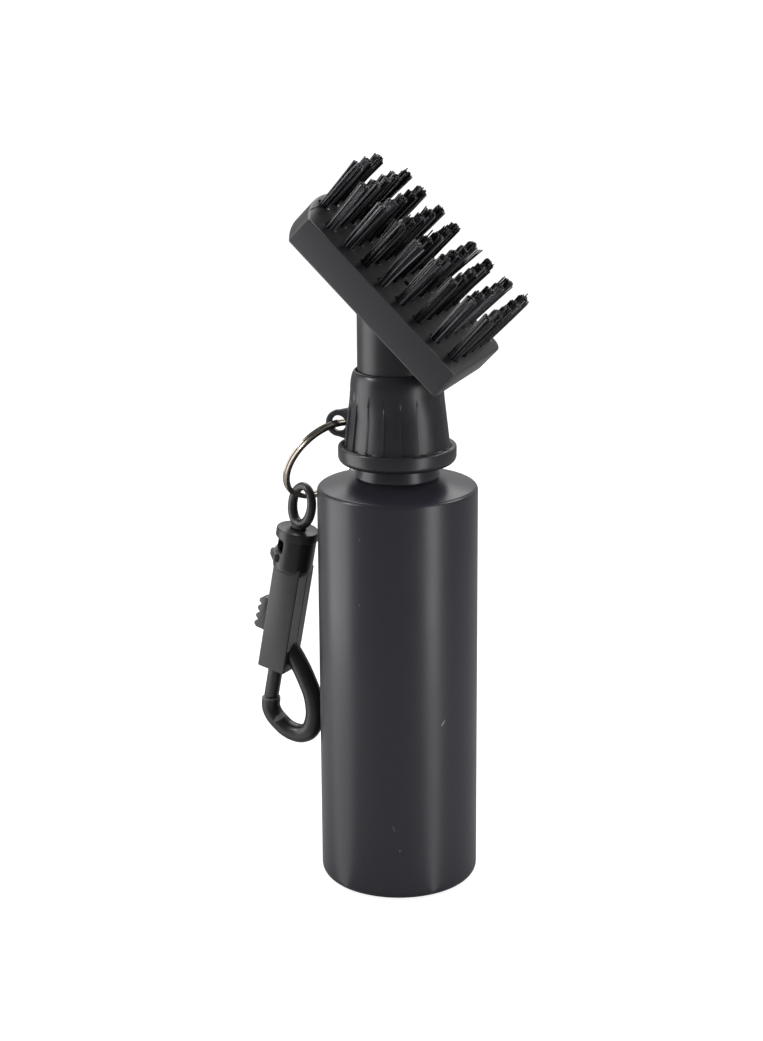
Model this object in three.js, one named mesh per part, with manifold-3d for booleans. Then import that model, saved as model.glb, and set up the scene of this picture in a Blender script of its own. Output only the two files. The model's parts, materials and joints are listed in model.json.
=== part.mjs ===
// Club groove brush: a water bottle with a screw cap, a press-valve stem that carries a tilted
// block of nylon bristles, and a snap clip that hangs from the cap on a split ring.
// Units are millimetres and +Z is up. The origin is the centre of the bottle's flat base.
// The lanyard eyelet points along -X, and the bristles lean over towards +X.

import * as THREE from 'three';
import * as BufferGeometryUtils from 'three/addons/utils/BufferGeometryUtils.js';
import Module from 'manifold-3d';

const wasm = await Module();
wasm.setup();

// ---------------------------------------------------------------- driving dimensions

// Clearances
const seatGap = 0.3; // between faces that rest on each other
const slideGap = 0.3; // round a piece that slides, turns or sits in a hole
const cutOver = 1; // how far a cutter reaches past the face that it opens

// Bottle
const bottleRadius = 20.3;
const bottleHeight = 105.2; // base to the outer edge of the shoulder
const bottleWall = 1.3;
const bottleFloor = 1.6;
const baseRound = 2.6;
const shoulderRound = 1.2;
const shoulderSlope = THREE.MathUtils.degToRad(12);
const neckRadius = 10;
const neckWall = 2;
const neckHeight = 11.8;
const beadRadius = 10.9;
const beadLift = 1.2; // the clear length of neck under the bead
const beadHeight = 2.3;
const beadRound = 0.8;

// Screw thread, the same pitch on the neck and in the cap
const threadPitch = 3;
const threadTurns = 1.25;
const threadDepth = 0.9;
const threadRootWidth = 1.4;
const threadCrestWidth = 0.7;
const threadRoot = 0.4; // how deep a thread ridge is buried in its wall
const threadLead = 2.1; // bead top to the centre of the thread's first turn

// Cap
const capFlangeRadius = 14.9;
const capFlangeHeight = 4.5;
const capFlangeRound = 1.8;
const capFlangeEdge = 0.6; // bevel along the flange's upper edge
const capBaseRadius = 13.35;
const capWaistRadius = 11.7;
const capHeight = 23.6;
const capTopRound = 3.6;
const capTopBow = 0.3; // how far the round leans in before it turns over
const capRimWidth = 0.35;
const ribCount = 20;
const ribDepth = 0.45;
const ribWidth = 3;
const ribSteep = 0.35;
const ribLength = 12.5;

// Lanyard eyelet on the cap
const eyeletHole = 2.2;
const eyeletWall = 1.2;
const eyeletThickness = 1.6;
const eyeletReach = 15.6; // main axis to the hole's centre
const eyeletLift = 8.7; // cap's lower face to the hole's centre
const eyeletLeg = 4.6; // half of the eyelet's height where it meets the cap
const eyeletRoot = 1; // how deep the eyelet reaches into the cap's wall, past the bore

// Valve
const gasketThickness = 1;
const insertFlange = 1.2;
const insertWall = 1;
const insertFloor = 1.5;
const insertDepth = 12.4; // flange underside to the cup's lower face
const pressStroke = 2.5;
const tubeRadius = 3.9;
const tubeBore = 2.2;
const portRadius = 1.2;
const portLift = 3.8; // insert floor to the centre of the side ports
const sealRadius = 6;
const sealThickness = 1.2;
const poppetRadius = 6.2;
const poppetThickness = 2;
const poppetPlug = 4;
const springWire = 0.9;
const springRadius = 5.3; // to the middle of the wire
const springTurns = 5.5;

// Stem
const stemRadius = 9.9;
const ringGrooveLift = 3; // stem's lower face to the middle of the O-ring groove
const ringGrooveDepth = 1.1;
const ringGrooveHeight = 1.7;
const oRingWire = 1.1;
const spigotRadius = 5.8;
const spigotLength = 3.5;

// Brush block, measured in its own tilted frame: x down the slope, z out through the bristles
const blockTilt = THREE.MathUtils.degToRad(44);
const blockLength = 51.4; // the straight sides
const blockWidth = 37;
const blockThickness = 7.9;
const blockCrown = 5; // how far the upper end bulges past the straight sides
const blockCorner = 3;
const blockEdge = 0.5;
const blockCentreX = -2.4; // middle of the block's lower face
const blockCentreLift = 15.6; // above the cap's top
const outletRadius = 1.2;

// Bristles
const rowCount = 9;
const rowPitch = 6.15;
const rowInset = 3.4; // straight end of the block to the last row
const tuftsPerRow = 5;
const tuftsInFirstRow = 3; // the crowned end leaves less room
const tuftPitch = 6.75;
const tuftRootRadius = 1.5;
const tuftTipRadius = 1.9;
const tuftLength = 15;
const firstRowLean = THREE.MathUtils.degToRad(-6);
const lastRowLean = THREE.MathUtils.degToRad(4);
const channelDepth = 3.3;
const stripHeight = 2.2;
const stripEnd = 0.6; // strip past its last tuft
const tuftSink = 0.2; // how far a tuft's root runs into its strip

// Split ring
const ringRadius = 12; // to the middle of the wire
const ringWireWidth = 1.3; // across the ring's plane
const ringWireHeight = 0.8; // along the ring's axis, each turn
const ringTurnGap = 0.1;
const ringHeading = THREE.MathUtils.degToRad(150.2);
const ringOverhang = 6.64; // how far the ring's lower end hangs past the bottle's side
const ringLay = Math.acos((bottleRadius + ringOverhang - eyeletReach) / (2 * ringRadius));
const ringCrossing = THREE.MathUtils.degToRad(-70); // where the wire steps from one turn to the other
const ringCrossingHalf = THREE.MathUtils.degToRad(22);
const clipAngle = THREE.MathUtils.degToRad(165); // round the ring from the eyelet to the clip

// Clip
const clipHeading = THREE.MathUtils.degToRad(20.5);
const clipLean = THREE.MathUtils.degToRad(9.7);
const clipLeanBack = THREE.MathUtils.degToRad(5);
const clipTurn = THREE.MathUtils.degToRad(-30);
const eyeTurn = THREE.MathUtils.degToRad(-45);
const eyeWire = 2.1;
const eyeWidth = 9;
const eyeHeight = 12.4;
const eyeGap = 0.75;
const eyeNeckRadius = 1.6;
const eyeDiscRadius = 3.6;
const eyeDiscThickness = 1.6;
const socketRadius = 5.6;
const socketHeight = 10.4;
const socketTop = 2.4; // plate over the disc
const socketCavity = 4.6;
const socketLip = 0.7;
const housingWidth = 8.1;
const housingDepth = 7.5;
const housingLength = 29.2;
const housingRound = 0.8;
const housingShift = 0.4;
const boltRadius = 1.95;
const boltReach = 9.1; // housing's lower face to the bolt's end
const boltLength = 22.4;
const boltStroke = 7.5;
const boltBoreEnd = 3; // solid above the bolt's bore
const tabLength = 9.1;
const tabReach = 3.3; // past the housing's side
const tabSlant = 0.7;
const tabTeeth = 4;
const tabToothDepth = 0.8;
const tabWeb = 2;
const tabWidth = 3.4;
const hookRadius = 2.05;
const hookReach = 13.6; // bolt's axis to the far arm's axis
const hookDrop = 6.4; // hook's tip down to the lowest point of its axis
const hookArmLift = 16.4; // hook's tip up to where the arm leaves the housing
const boltSpringWire = 0.4;
const boltSpringRadius = 1.4;
const boltSpringTurns = 8;

// Fineness of round shapes
const turnSides = 32;
const smallSides = 20;
const wireSides = 6;

// ---------------------------------------------------------------- heights up the main axis

const shoulderTop = bottleHeight + (bottleRadius - neckRadius) * Math.tan(shoulderSlope);
const neckTop = shoulderTop + neckHeight;
const beadTop = shoulderTop + beadLift + beadHeight;
const capBottom = beadTop + seatGap;
const capTop = capBottom + capHeight;
const gasketBottom = neckTop + seatGap;
const flangeBottom = gasketBottom + gasketThickness + seatGap;
const flangeTop = flangeBottom + insertFlange;
const capShoulder = flangeTop + seatGap;
const insertBottom = flangeBottom - insertDepth;
const insertInside = insertBottom + insertFloor;
const stemBottom = flangeTop + seatGap + pressStroke;
const sealTop = insertBottom - seatGap;
const tubeBottom = sealTop - sealThickness;
const poppetTop = tubeBottom - seatGap;
const blockCentreZ = capTop + blockCentreLift;

// Radii that follow from the fits
const neckBore = neckRadius - neckWall;
const capThreadBore = neckRadius + threadDepth + slideGap;
const stemBore = stemRadius + slideGap;
const insertRadius = neckBore - slideGap;

// ---------------------------------------------------------------- solids and cuts

// A closed geometry as a manifold solid with its faces pointing out
function toSolid(geometry) {
  const bare = geometry.clone();
  bare.deleteAttribute('normal');
  bare.deleteAttribute('uv');
  const merged = BufferGeometryUtils.mergeVertices(bare, 1e-4);
  const corners = merged.getAttribute('position').array;
  const whole = wholeTriangles(merged.index.array);
  const outward = signedVolume(corners, whole) > 0 ? whole : whole.toReversed();
  const mesh = new wasm.Mesh({
    numProp: 3,
    vertProperties: new Float32Array(corners),
    triVerts: new Uint32Array(outward),
  });
  return new wasm.Manifold(mesh);
}

// Triangles whose three corners differ: a turned profile leaves slivers at its axis
function wholeTriangles(index) {
  const kept = [];
  for (let i = 0; i < index.length; i += 3) {
    const [a, b, c] = index.slice(i, i + 3);
    if (a !== b && b !== c && c !== a) {
      kept.push(a, b, c);
    }
  }
  return kept;
}

function signedVolume(corners, index) {
  const at = (i) => new THREE.Vector3().fromArray(corners, 3 * i);
  let total = 0;
  for (let i = 0; i < index.length; i += 3) {
    const across = at(index[i + 1]).cross(at(index[i + 2]));
    total += at(index[i]).dot(across) / 6;
  }
  return total;
}

function toGeometry(solid) {
  const { vertProperties, triVerts } = solid.getMesh();
  const geometry = new THREE.BufferGeometry();
  geometry.setAttribute('position', new THREE.BufferAttribute(vertProperties, 3));
  geometry.setIndex(new THREE.BufferAttribute(triVerts, 1));
  const faceted = geometry.toNonIndexed();
  faceted.computeVertexNormals();
  return faceted;
}

function join(...solids) {
  return solids.reduce((whole, piece) => whole.add(piece));
}

function cut(solid, ...cutters) {
  return cutters.reduce((rest, cutter) => rest.subtract(cutter), solid);
}

// ---------------------------------------------------------------- shape helpers

// A profile of [radius, height] points, closed on itself and turned about Z
function turned(points, sides = turnSides) {
  const outline = points.map(([radius, height]) => new THREE.Vector2(radius, height));
  outline.push(outline[0].clone());
  return toSolid(new THREE.LatheGeometry(outline, sides).rotateX(Math.PI / 2));
}

// Points of a round from one angle to another, for a profile
function roundPoints(centreX, centreY, radius, from, to, steps = 4) {
  const curve = new THREE.EllipseCurve(centreX, centreY, radius, radius, from, to, to < from);
  return curve.getPoints(steps).map((point) => [point.x, point.y]);
}

// An upright cylinder or cone between two heights
function rod(radius, from, to, sides = smallSides, topRadius = radius) {
  const geometry = new THREE.CylinderGeometry(topRadius, radius, to - from, sides);
  return toSolid(geometry.rotateX(Math.PI / 2).translate(0, 0, (from + to) / 2));
}

// A box between two corners
function block(low, high) {
  const size = high.map((value, i) => value - low[i]);
  const middle = high.map((value, i) => (value + low[i]) / 2);
  return toSolid(new THREE.BoxGeometry(...size).translate(...middle));
}

// A flat outline in XY, made upright from one height to another
function prism(shape, from, to) {
  const geometry = new THREE.ExtrudeGeometry(shape, { depth: to - from, bevelEnabled: false, curveSegments: 6 });
  return toSolid(geometry.translate(0, 0, from));
}

// A flat outline in XZ with its thickness centred on the XZ plane
function plate(shape, thickness) {
  const geometry = new THREE.ExtrudeGeometry(shape, { depth: thickness, bevelEnabled: false, curveSegments: 8 });
  return toSolid(geometry.translate(0, 0, -thickness / 2).rotateX(Math.PI / 2));
}

// A section swept along a curve
function swept(section, path, steps) {
  const options = { extrudePath: path, steps, bevelEnabled: false, curveSegments: wireSides };
  return toSolid(new THREE.ExtrudeGeometry(section, options));
}

// A round wire section with a given number of sides
function wireSection(radius, sides = wireSides) {
  const corners = [];
  for (let i = 0; i < sides; i += 1) {
    const angle = (2 * Math.PI * i) / sides;
    corners.push(new THREE.Vector2(radius * Math.cos(angle), radius * Math.sin(angle)));
  }
  return new THREE.Shape(corners);
}

// The middle line of a coil spring
class CoilCurve extends THREE.Curve {
  constructor(radius, from, to, turns) {
    super();
    this.radius = radius;
    this.from = from;
    this.to = to;
    this.turns = turns;
    this.arcLengthDivisions = Math.ceil(turns * 40);
  }

  getPoint(t, target = new THREE.Vector3()) {
    const angle = 2 * Math.PI * this.turns * t;
    const height = this.from + (this.to - this.from) * t;
    return target.set(this.radius * Math.cos(angle), this.radius * Math.sin(angle), height);
  }
}

function coil(radius, wire, from, to, turns, stepsPerTurn) {
  const path = new CoilCurve(radius, from + wire / 2, to - wire / 2, turns);
  return swept(wireSection(wire / 2), path, Math.ceil(turns * stepsPerTurn));
}

// ---------------------------------------------------------------- bottle

// A screw ridge on a wall: a straight ridge along Z, wrapped onto the helix.
// The ridge grows from wallRadius to crestRadius, so an inside thread has the smaller crest.
function threadRidge(wallRadius, crestRadius, startAngle) {
  const inward = Math.sign(crestRadius - wallRadius);
  const buried = wallRadius - inward * threadRoot;
  const section = new THREE.Shape();
  section.moveTo(buried, -threadRootWidth / 2);
  section.lineTo(wallRadius, -threadRootWidth / 2);
  section.lineTo(crestRadius, -threadCrestWidth / 2);
  section.lineTo(crestRadius, threadCrestWidth / 2);
  section.lineTo(wallRadius, threadRootWidth / 2);
  section.lineTo(buried, threadRootWidth / 2);
  const sweep = 2 * Math.PI * threadTurns;
  const steps = Math.round(threadTurns * turnSides);
  const geometry = new THREE.ExtrudeGeometry(section, { depth: sweep, steps, bevelEnabled: false });
  const firstTurn = beadTop + threadLead;
  const position = geometry.getAttribute('position');
  for (let i = 0; i < position.count; i += 1) {
    const radius = position.getX(i);
    const turn = position.getZ(i);
    const height = firstTurn + position.getY(i) + (threadPitch * turn) / (2 * Math.PI);
    const angle = startAngle + turn;
    position.setXYZ(i, radius * Math.cos(angle), radius * Math.sin(angle), height);
  }
  return toSolid(geometry);
}

function makeBottle() {
  const slopeEnd = Math.PI / 2 - shoulderSlope;
  const beadBottom = beadTop - beadHeight;
  const innerRadius = bottleRadius - bottleWall;
  const innerRound = baseRound - bottleWall / 2;
  const outside = [
    [0, 0],
    ...roundPoints(bottleRadius - baseRound, baseRound, baseRound, -Math.PI / 2, 0),
    ...roundPoints(bottleRadius - shoulderRound, bottleHeight - shoulderRound, shoulderRound, 0, slopeEnd),
    [neckRadius, shoulderTop],
    [neckRadius, beadBottom],
    ...roundPoints(beadRadius - beadRound, beadBottom + beadRound, beadRound, -Math.PI / 2, 0, 2),
    ...roundPoints(beadRadius - beadRound, beadTop - beadRound, beadRound, 0, Math.PI / 2, 2),
    [neckRadius, beadTop],
    [neckRadius, neckTop],
  ];
  const inside = [
    [neckBore, neckTop],
    [neckBore, shoulderTop - bottleWall],
    [innerRadius - shoulderRound / 2, bottleHeight - bottleWall - shoulderRound / 2],
    [innerRadius, bottleHeight - bottleWall - shoulderRound],
    ...roundPoints(innerRadius - innerRound, bottleFloor + innerRound, innerRound, 0, -Math.PI / 2, 2),
    [0, bottleFloor],
  ];
  return join(turned([...outside, ...inside]), threadRidge(neckRadius, neckRadius + threadDepth, 0));
}

// ---------------------------------------------------------------- cap

// One slanting flute: steep on one side and shallow on the other
function ribCutter(index) {
  const flute = new THREE.Shape();
  flute.moveTo(-ribDepth, 0);
  flute.lineTo(cutOver, -ribSteep);
  flute.lineTo(cutOver, ribWidth);
  const bodyBottom = capBottom + capFlangeHeight;
  const waistTop = capTop - capTopRound;
  const fade = ribDepth / ribLength;
  const lean = Math.atan((capBaseRadius - capWaistRadius) / (waistTop - bodyBottom) - fade);
  const geometry = new THREE.ExtrudeGeometry(flute, { depth: ribLength, bevelEnabled: false });
  geometry.rotateY(-lean);
  geometry.translate(capBaseRadius, 0, bodyBottom);
  geometry.rotateZ((2 * Math.PI * index) / ribCount);
  return toSolid(geometry);
}

// The eyelet's outline: a round eye that widens into the cap's side
function eyeletSolid() {
  const outer = eyeletHole + eyeletWall;
  const root = stemBore + eyeletRoot;
  const outline = new THREE.Shape();
  outline.moveTo(-root, -eyeletLeg);
  outline.lineTo(-root, eyeletLeg);
  outline.absarc(-eyeletReach, 0, outer, Math.PI * 0.42, Math.PI * 1.58, false);
  const hole = new THREE.Path();
  hole.absarc(-eyeletReach, 0, eyeletHole, 0, 2 * Math.PI, false);
  outline.holes.push(hole);
  return plate(outline, eyeletThickness).translate([0, 0, capBottom + eyeletLift]);
}

function makeCap() {
  const bodyBottom = capBottom + capFlangeHeight;
  const rimOuter = stemBore + capRimWidth;
  const flangeLow = roundPoints(
    capFlangeRadius - capFlangeRound, capBottom + capFlangeRound, capFlangeRound, -Math.PI / 2, 0, 3);
  const crown = new THREE.QuadraticBezierCurve(
    new THREE.Vector2(capWaistRadius, capTop - capTopRound),
    new THREE.Vector2(capWaistRadius - capTopBow, capTop - capTopRound * 0.3),
    new THREE.Vector2(rimOuter, capTop),
  );
  const shell = turned([
    [capThreadBore, capBottom],
    ...flangeLow,
    [capFlangeRadius, bodyBottom - capFlangeEdge],
    [capFlangeRadius - capFlangeEdge, bodyBottom],
    [capBaseRadius, bodyBottom],
    ...crown.getPoints(4).map((point) => [point.x, point.y]),
    [stemBore, capTop],
    [stemBore, capShoulder],
    [capThreadBore, capShoulder],
  ]);
  const ribs = [];
  for (let i = 0; i < ribCount; i += 1) {
    ribs.push(ribCutter(i + 0.5));
  }
  const bore = rod(stemBore, capShoulder - cutOver, capTop, turnSides);
  const eyelet = cut(eyeletSolid(), bore);
  const thread = threadRidge(capThreadBore, neckRadius + slideGap, Math.PI);
  return join(cut(shell, ...ribs), eyelet, thread);
}

// ---------------------------------------------------------------- valve and stem

function makeGasket() {
  const outer = capThreadBore - slideGap;
  const top = gasketBottom + gasketThickness;
  return turned([[neckBore, gasketBottom], [outer, gasketBottom], [outer, top], [neckBore, top]]);
}

function makeInsert() {
  const inner = insertRadius - insertWall;
  const flangeRadius = capThreadBore - slideGap;
  const guide = tubeRadius + slideGap;
  return turned([
    [guide, insertBottom],
    [insertRadius, insertBottom],
    [insertRadius, flangeBottom],
    [flangeRadius, flangeBottom],
    [flangeRadius, flangeTop],
    [inner, flangeTop],
    [inner, insertInside],
    [guide, insertInside],
  ]);
}

function makeReturnSpring() {
  return coil(springRadius, springWire, insertInside + seatGap, stemBottom - seatGap, springTurns, 14);
}

function makeStemORing() {
  const middle = stemRadius - ringGrooveDepth + oRingWire / 2 + slideGap / 3;
  const geometry = new THREE.TorusGeometry(middle, oRingWire / 2, wireSides, turnSides);
  return toSolid(geometry.translate(0, 0, stemBottom + ringGrooveLift));
}

function makeValveSeal() {
  const hole = tubeRadius + slideGap;
  return turned([[hole, tubeBottom], [sealRadius, tubeBottom], [sealRadius, sealTop], [hole, sealTop]], smallSides);
}

function makePoppet() {
  const plug = rod(tubeBore - slideGap, poppetTop - cutOver, tubeBottom + poppetPlug);
  return join(rod(poppetRadius, poppetTop - poppetThickness, poppetTop), plug);
}

// Puts a solid that was made in the block's own frame into the main frame
function tilted(solid) {
  const degrees = THREE.MathUtils.radToDeg(blockTilt);
  return solid.rotate([0, degrees, 0]).translate([blockCentreX, 0, blockCentreZ]);
}

// Where the stem's axis meets the block's lower face, along the block
const spigotX = -blockCentreX / Math.cos(blockTilt);

function makeStem() {
  const grooveMiddle = stemBottom + ringGrooveLift;
  const grooveRadius = stemRadius - ringGrooveDepth;
  const stemTop = blockCentreZ + stemRadius * 2;
  const body = turned([
    [tubeBore, tubeBottom],
    [tubeRadius, tubeBottom],
    [tubeRadius, stemBottom],
    [stemRadius, stemBottom],
    [stemRadius, grooveMiddle - ringGrooveHeight / 2],
    [grooveRadius, grooveMiddle - ringGrooveHeight / 2],
    [grooveRadius, grooveMiddle + ringGrooveHeight / 2],
    [stemRadius, grooveMiddle + ringGrooveHeight / 2],
    [stemRadius, stemTop],
    [tubeBore, stemTop],
  ]);
  const reach = blockLength;
  const aboveBlock = tilted(block([-reach, -reach, -seatGap], [reach, reach, reach]));
  const spigot = tilted(rod(spigotRadius, -seatGap - cutOver, spigotLength, smallSides).translate([spigotX, 0, 0]));
  const waterway = tilted(rod(tubeBore, -tubeBore, spigotLength + cutOver, 12).translate([spigotX, 0, 0]));
  const mainBore = rod(tubeBore, stemBottom, blockCentreZ - spigotX * Math.sin(blockTilt), 12);
  const portHeight = insertInside + portLift;
  const ports = toSolid(new THREE.CylinderGeometry(portRadius, portRadius, 2 * tubeRadius + cutOver, 10)
    .rotateZ(Math.PI / 2).translate(0, 0, portHeight));
  return cut(join(cut(body, aboveBlock), spigot), mainBore, waterway, ports);
}

// ---------------------------------------------------------------- brush head

function rowX(row) {
  return blockLength / 2 - rowInset - rowPitch * (rowCount - row);
}

function tuftsInRow(row) {
  return row === 1 ? tuftsInFirstRow : tuftsPerRow;
}

// Half of the root strip's length
function stripHalf(row) {
  return ((tuftsInRow(row) - 1) / 2) * tuftPitch + tuftRootRadius + stripEnd;
}

// Straight sides and lower end, and a crowned upper end
function blockOutline() {
  const halfLength = blockLength / 2 - blockEdge;
  const halfWidth = blockWidth / 2 - blockEdge;
  const corner = blockCorner - blockEdge;
  const outline = new THREE.Shape();
  outline.moveTo(-halfLength, -halfWidth);
  outline.lineTo(halfLength - corner, -halfWidth);
  outline.absarc(halfLength - corner, -halfWidth + corner, corner, -Math.PI / 2, 0, false);
  outline.absarc(halfLength - corner, halfWidth - corner, corner, 0, Math.PI / 2, false);
  outline.lineTo(-halfLength, halfWidth);
  outline.quadraticCurveTo(-halfLength - 2 * blockCrown, 0, -halfLength, -halfWidth);
  return outline;
}

function makeBlock() {
  const options = {
    depth: blockThickness - 2 * blockEdge,
    bevelThickness: blockEdge,
    bevelSize: blockEdge,
    bevelSegments: 1,
    curveSegments: 10,
  };
  const slab = toSolid(new THREE.ExtrudeGeometry(blockOutline(), options).translate(0, 0, blockEdge));
  const halfChannel = tuftRootRadius + slideGap;
  const cutters = [];
  for (let row = 1; row <= rowCount; row += 1) {
    const half = stripHalf(row) + slideGap;
    const low = [rowX(row) - halfChannel, -half, blockThickness - channelDepth];
    cutters.push(block(low, [rowX(row) + halfChannel, half, blockThickness + cutOver]));
  }
  const socket = rod(spigotRadius + slideGap, -cutOver, spigotLength + slideGap).translate([spigotX, 0, 0]);
  const middleRow = (rowCount + 1) / 2;
  const outletX = rowX(middleRow) + rowPitch / 2;
  const outlet = rod(outletRadius, 0, blockThickness + cutOver, 10).translate([outletX, 0, 0]);
  return cut(slab, ...cutters, socket, outlet);
}

// One row: a root strip in its channel with a line of tufts that share the row's lean
function makeRow(row) {
  const stripBottom = blockThickness - channelDepth + seatGap;
  const stripTop = stripBottom + stripHeight;
  const lean = THREE.MathUtils.lerp(firstRowLean, lastRowLean, (row - 1) / (rowCount - 1));
  const half = stripHalf(row);
  const strip = block([-tuftRootRadius, -half, stripBottom], [tuftRootRadius, half, stripTop]);
  const tip = blockThickness + tuftLength;
  const pieces = [strip];
  const tufts = tuftsInRow(row);
  for (let i = 0; i < tufts; i += 1) {
    const y = (i - (tufts - 1) / 2) * tuftPitch;
    const straight = rod(tuftRootRadius * 0.98, 0, tip - stripTop, 8, tuftTipRadius);
    const leaning = straight.rotate([0, THREE.MathUtils.radToDeg(lean), 0]);
    pieces.push(leaning.translate([0, y, stripTop - tuftSink]));
  }
  return join(...pieces).translate([rowX(row), 0, 0]);
}

// ---------------------------------------------------------------- split ring

// Two flat turns of wire that swap sides over a short crossing
class SplitRingCurve extends THREE.Curve {
  constructor() {
    super();
    this.arcLengthDivisions = 400;
  }

  getPoint(t, target = new THREE.Vector3()) {
    const from = ringCrossingHalf;
    const to = 4 * Math.PI - ringCrossingHalf;
    const angle = THREE.MathUtils.lerp(from, to, t);
    const step = THREE.MathUtils.smoothstep(angle, 2 * Math.PI - from, 2 * Math.PI + from);
    const height = (step - 0.5) * (ringWireHeight + ringTurnGap);
    const around = angle + ringCrossing;
    return target.set(ringRadius * Math.cos(around), ringRadius * Math.sin(around), height);
  }
}

function makeSplitRing() {
  const halfWidth = ringWireWidth / 2;
  const halfHeight = ringWireHeight / 2;
  const edge = halfHeight * 0.5;
  // The section's x runs along the ring's axis and its y across the wire
  const section = new THREE.Shape();
  section.moveTo(-halfHeight, -halfWidth + edge);
  section.lineTo(0, -halfWidth);
  section.lineTo(halfHeight, -halfWidth + edge);
  section.lineTo(halfHeight, halfWidth - edge);
  section.lineTo(0, halfWidth);
  section.lineTo(-halfHeight, halfWidth - edge);
  return swept(section, new SplitRingCurve(), 64);
}

// ---------------------------------------------------------------- clip

// The clip's frame: z up its swivel axis, x across it towards the hook's arm, and the split ring's
// wire at the origin.
const eyeTop = ringWireWidth / 2 + eyeGap + eyeWire;
const eyeMiddle = eyeTop - eyeHeight / 2;
const socketTopZ = eyeTop - eyeHeight - seatGap;
const socketBottomZ = socketTopZ - socketHeight;
const housingBottomZ = socketBottomZ - housingLength;
const boltTipZ = housingBottomZ - boltReach;
const boltTopZ = boltTipZ + boltLength;
const boreTopZ = socketBottomZ - boltBoreEnd;
const cavityTopZ = socketTopZ - socketTop;
const tabTopZ = boreTopZ - boltStroke - slideGap;
const tabBottomZ = tabTopZ - tabLength;
const hookTipZ = boltTipZ - seatGap / 2;
const housingLeft = housingShift - housingWidth / 2;

function makeSwivelEye() {
  const ringWidth = eyeWidth - eyeWire;
  const ringHeight = eyeHeight - eyeWire;
  const loop = new THREE.TorusGeometry(ringWidth / 2, eyeWire / 2, 8, 24);
  loop.scale(1, ringHeight / ringWidth, 1).rotateX(Math.PI / 2).translate(0, 0, eyeMiddle);
  const neckTop = socketTopZ + eyeWire * 0.6;
  const discTop = cavityTopZ - slideGap;
  const neck = rod(eyeNeckRadius, discTop - cutOver, neckTop, 12);
  return join(toSolid(loop), neck, rod(eyeDiscRadius, discTop - eyeDiscThickness, discTop, smallSides));
}

// The hook's middle line: down the arm, round the bottom and up to the bolt's end
function hookPath() {
  const bottom = hookTipZ - hookDrop;
  const point = (x, z) => new THREE.Vector3(x, 0, z);
  return new THREE.CatmullRomCurve3([
    point(housingShift + housingWidth / 4, hookTipZ + hookArmLift),
    point(hookReach * 0.4, hookTipZ + hookArmLift * 0.83),
    point(hookReach * 0.7, hookTipZ + hookArmLift * 0.54),
    point(hookReach * 0.93, hookTipZ + hookArmLift * 0.22),
    point(hookReach, bottom + hookDrop * 0.62),
    point(hookReach * 0.87, bottom + hookDrop * 0.2),
    point(hookReach * 0.58, bottom),
    point(hookReach * 0.28, bottom + hookDrop * 0.18),
    point(hookReach * 0.05, bottom + hookDrop * 0.55),
    point(0, hookTipZ),
    point(0, hookTipZ + cutOver),
  ], false, 'centripetal');
}

function roundedRectangle(width, depth, corner) {
  const x = width / 2;
  const y = depth / 2;
  const outline = new THREE.Shape();
  outline.moveTo(-x + corner, -y);
  outline.lineTo(x - corner, -y);
  outline.absarc(x - corner, -y + corner, corner, -Math.PI / 2, 0, false);
  outline.absarc(x - corner, y - corner, corner, 0, Math.PI / 2, false);
  outline.absarc(-x + corner, y - corner, corner, Math.PI / 2, Math.PI, false);
  outline.absarc(-x + corner, -y + corner, corner, Math.PI, Math.PI * 1.5, false);
  return outline;
}

function makeHookBody() {
  const socket = rod(socketRadius, socketBottomZ, socketTopZ, smallSides);
  const lipMiddle = cavityTopZ - socketCavity;
  const lip = block([-socketRadius - socketLip, -socketRadius / 2, lipMiddle - socketLip],
    [0, socketRadius / 2, lipMiddle + socketLip]);
  const section = roundedRectangle(housingWidth, housingDepth, housingRound);
  const housing = prism(section, housingBottomZ, socketBottomZ + cutOver).translate([housingShift, 0, 0]);
  const hook = swept(wireSection(hookRadius, 10), hookPath(), 30);
  const neckHole = rod(eyeNeckRadius + slideGap, cavityTopZ - cutOver, socketTopZ + cutOver, 12);
  const cavity = rod(eyeDiscRadius + slideGap, cavityTopZ - socketCavity, cavityTopZ, smallSides);
  const windowHalf = eyeDiscRadius + slideGap;
  const opening = block([-socketRadius - cutOver, -windowHalf, cavityTopZ - socketCavity + socketLip],
    [0, windowHalf, cavityTopZ]);
  const bore = rod(boltRadius + slideGap, housingBottomZ - cutOver, boreTopZ, 14);
  const slotHalf = tabWeb / 2 + slideGap;
  const slot = block([housingLeft - cutOver, -slotHalf, tabBottomZ - slideGap], [0, slotHalf, boreTopZ]);
  const tipCutter = rod(hookRadius + cutOver, hookTipZ, hookTipZ + hookRadius, 14);
  return cut(join(socket, lip, housing, hook), neckHole, cavity, opening, bore, slot, tipCutter);
}

// The thumb tab's outline in XZ, with teeth down its outer edge
function tabOutline() {
  const outline = new THREE.Shape();
  const inner = -boltSpringRadius - boltSpringWire - slideGap;
  const pitch = tabLength / tabTeeth;
  outline.moveTo(inner, tabBottomZ);
  outline.lineTo(inner, tabTopZ);
  outline.lineTo(housingLeft - tabReach * 0.6, tabTopZ);
  for (let i = 0; i < tabTeeth; i += 1) {
    const top = tabTopZ - i * pitch;
    const reach = tabReach + (tabSlant * i) / tabTeeth;
    outline.lineTo(housingLeft - reach, top - pitch * 0.35);
    outline.lineTo(housingLeft - reach, top - pitch * 0.7);
    outline.lineTo(housingLeft - reach + tabToothDepth, top - pitch * 0.95);
  }
  outline.lineTo(housingLeft - tabReach + tabToothDepth, tabBottomZ);
  return outline;
}

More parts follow.
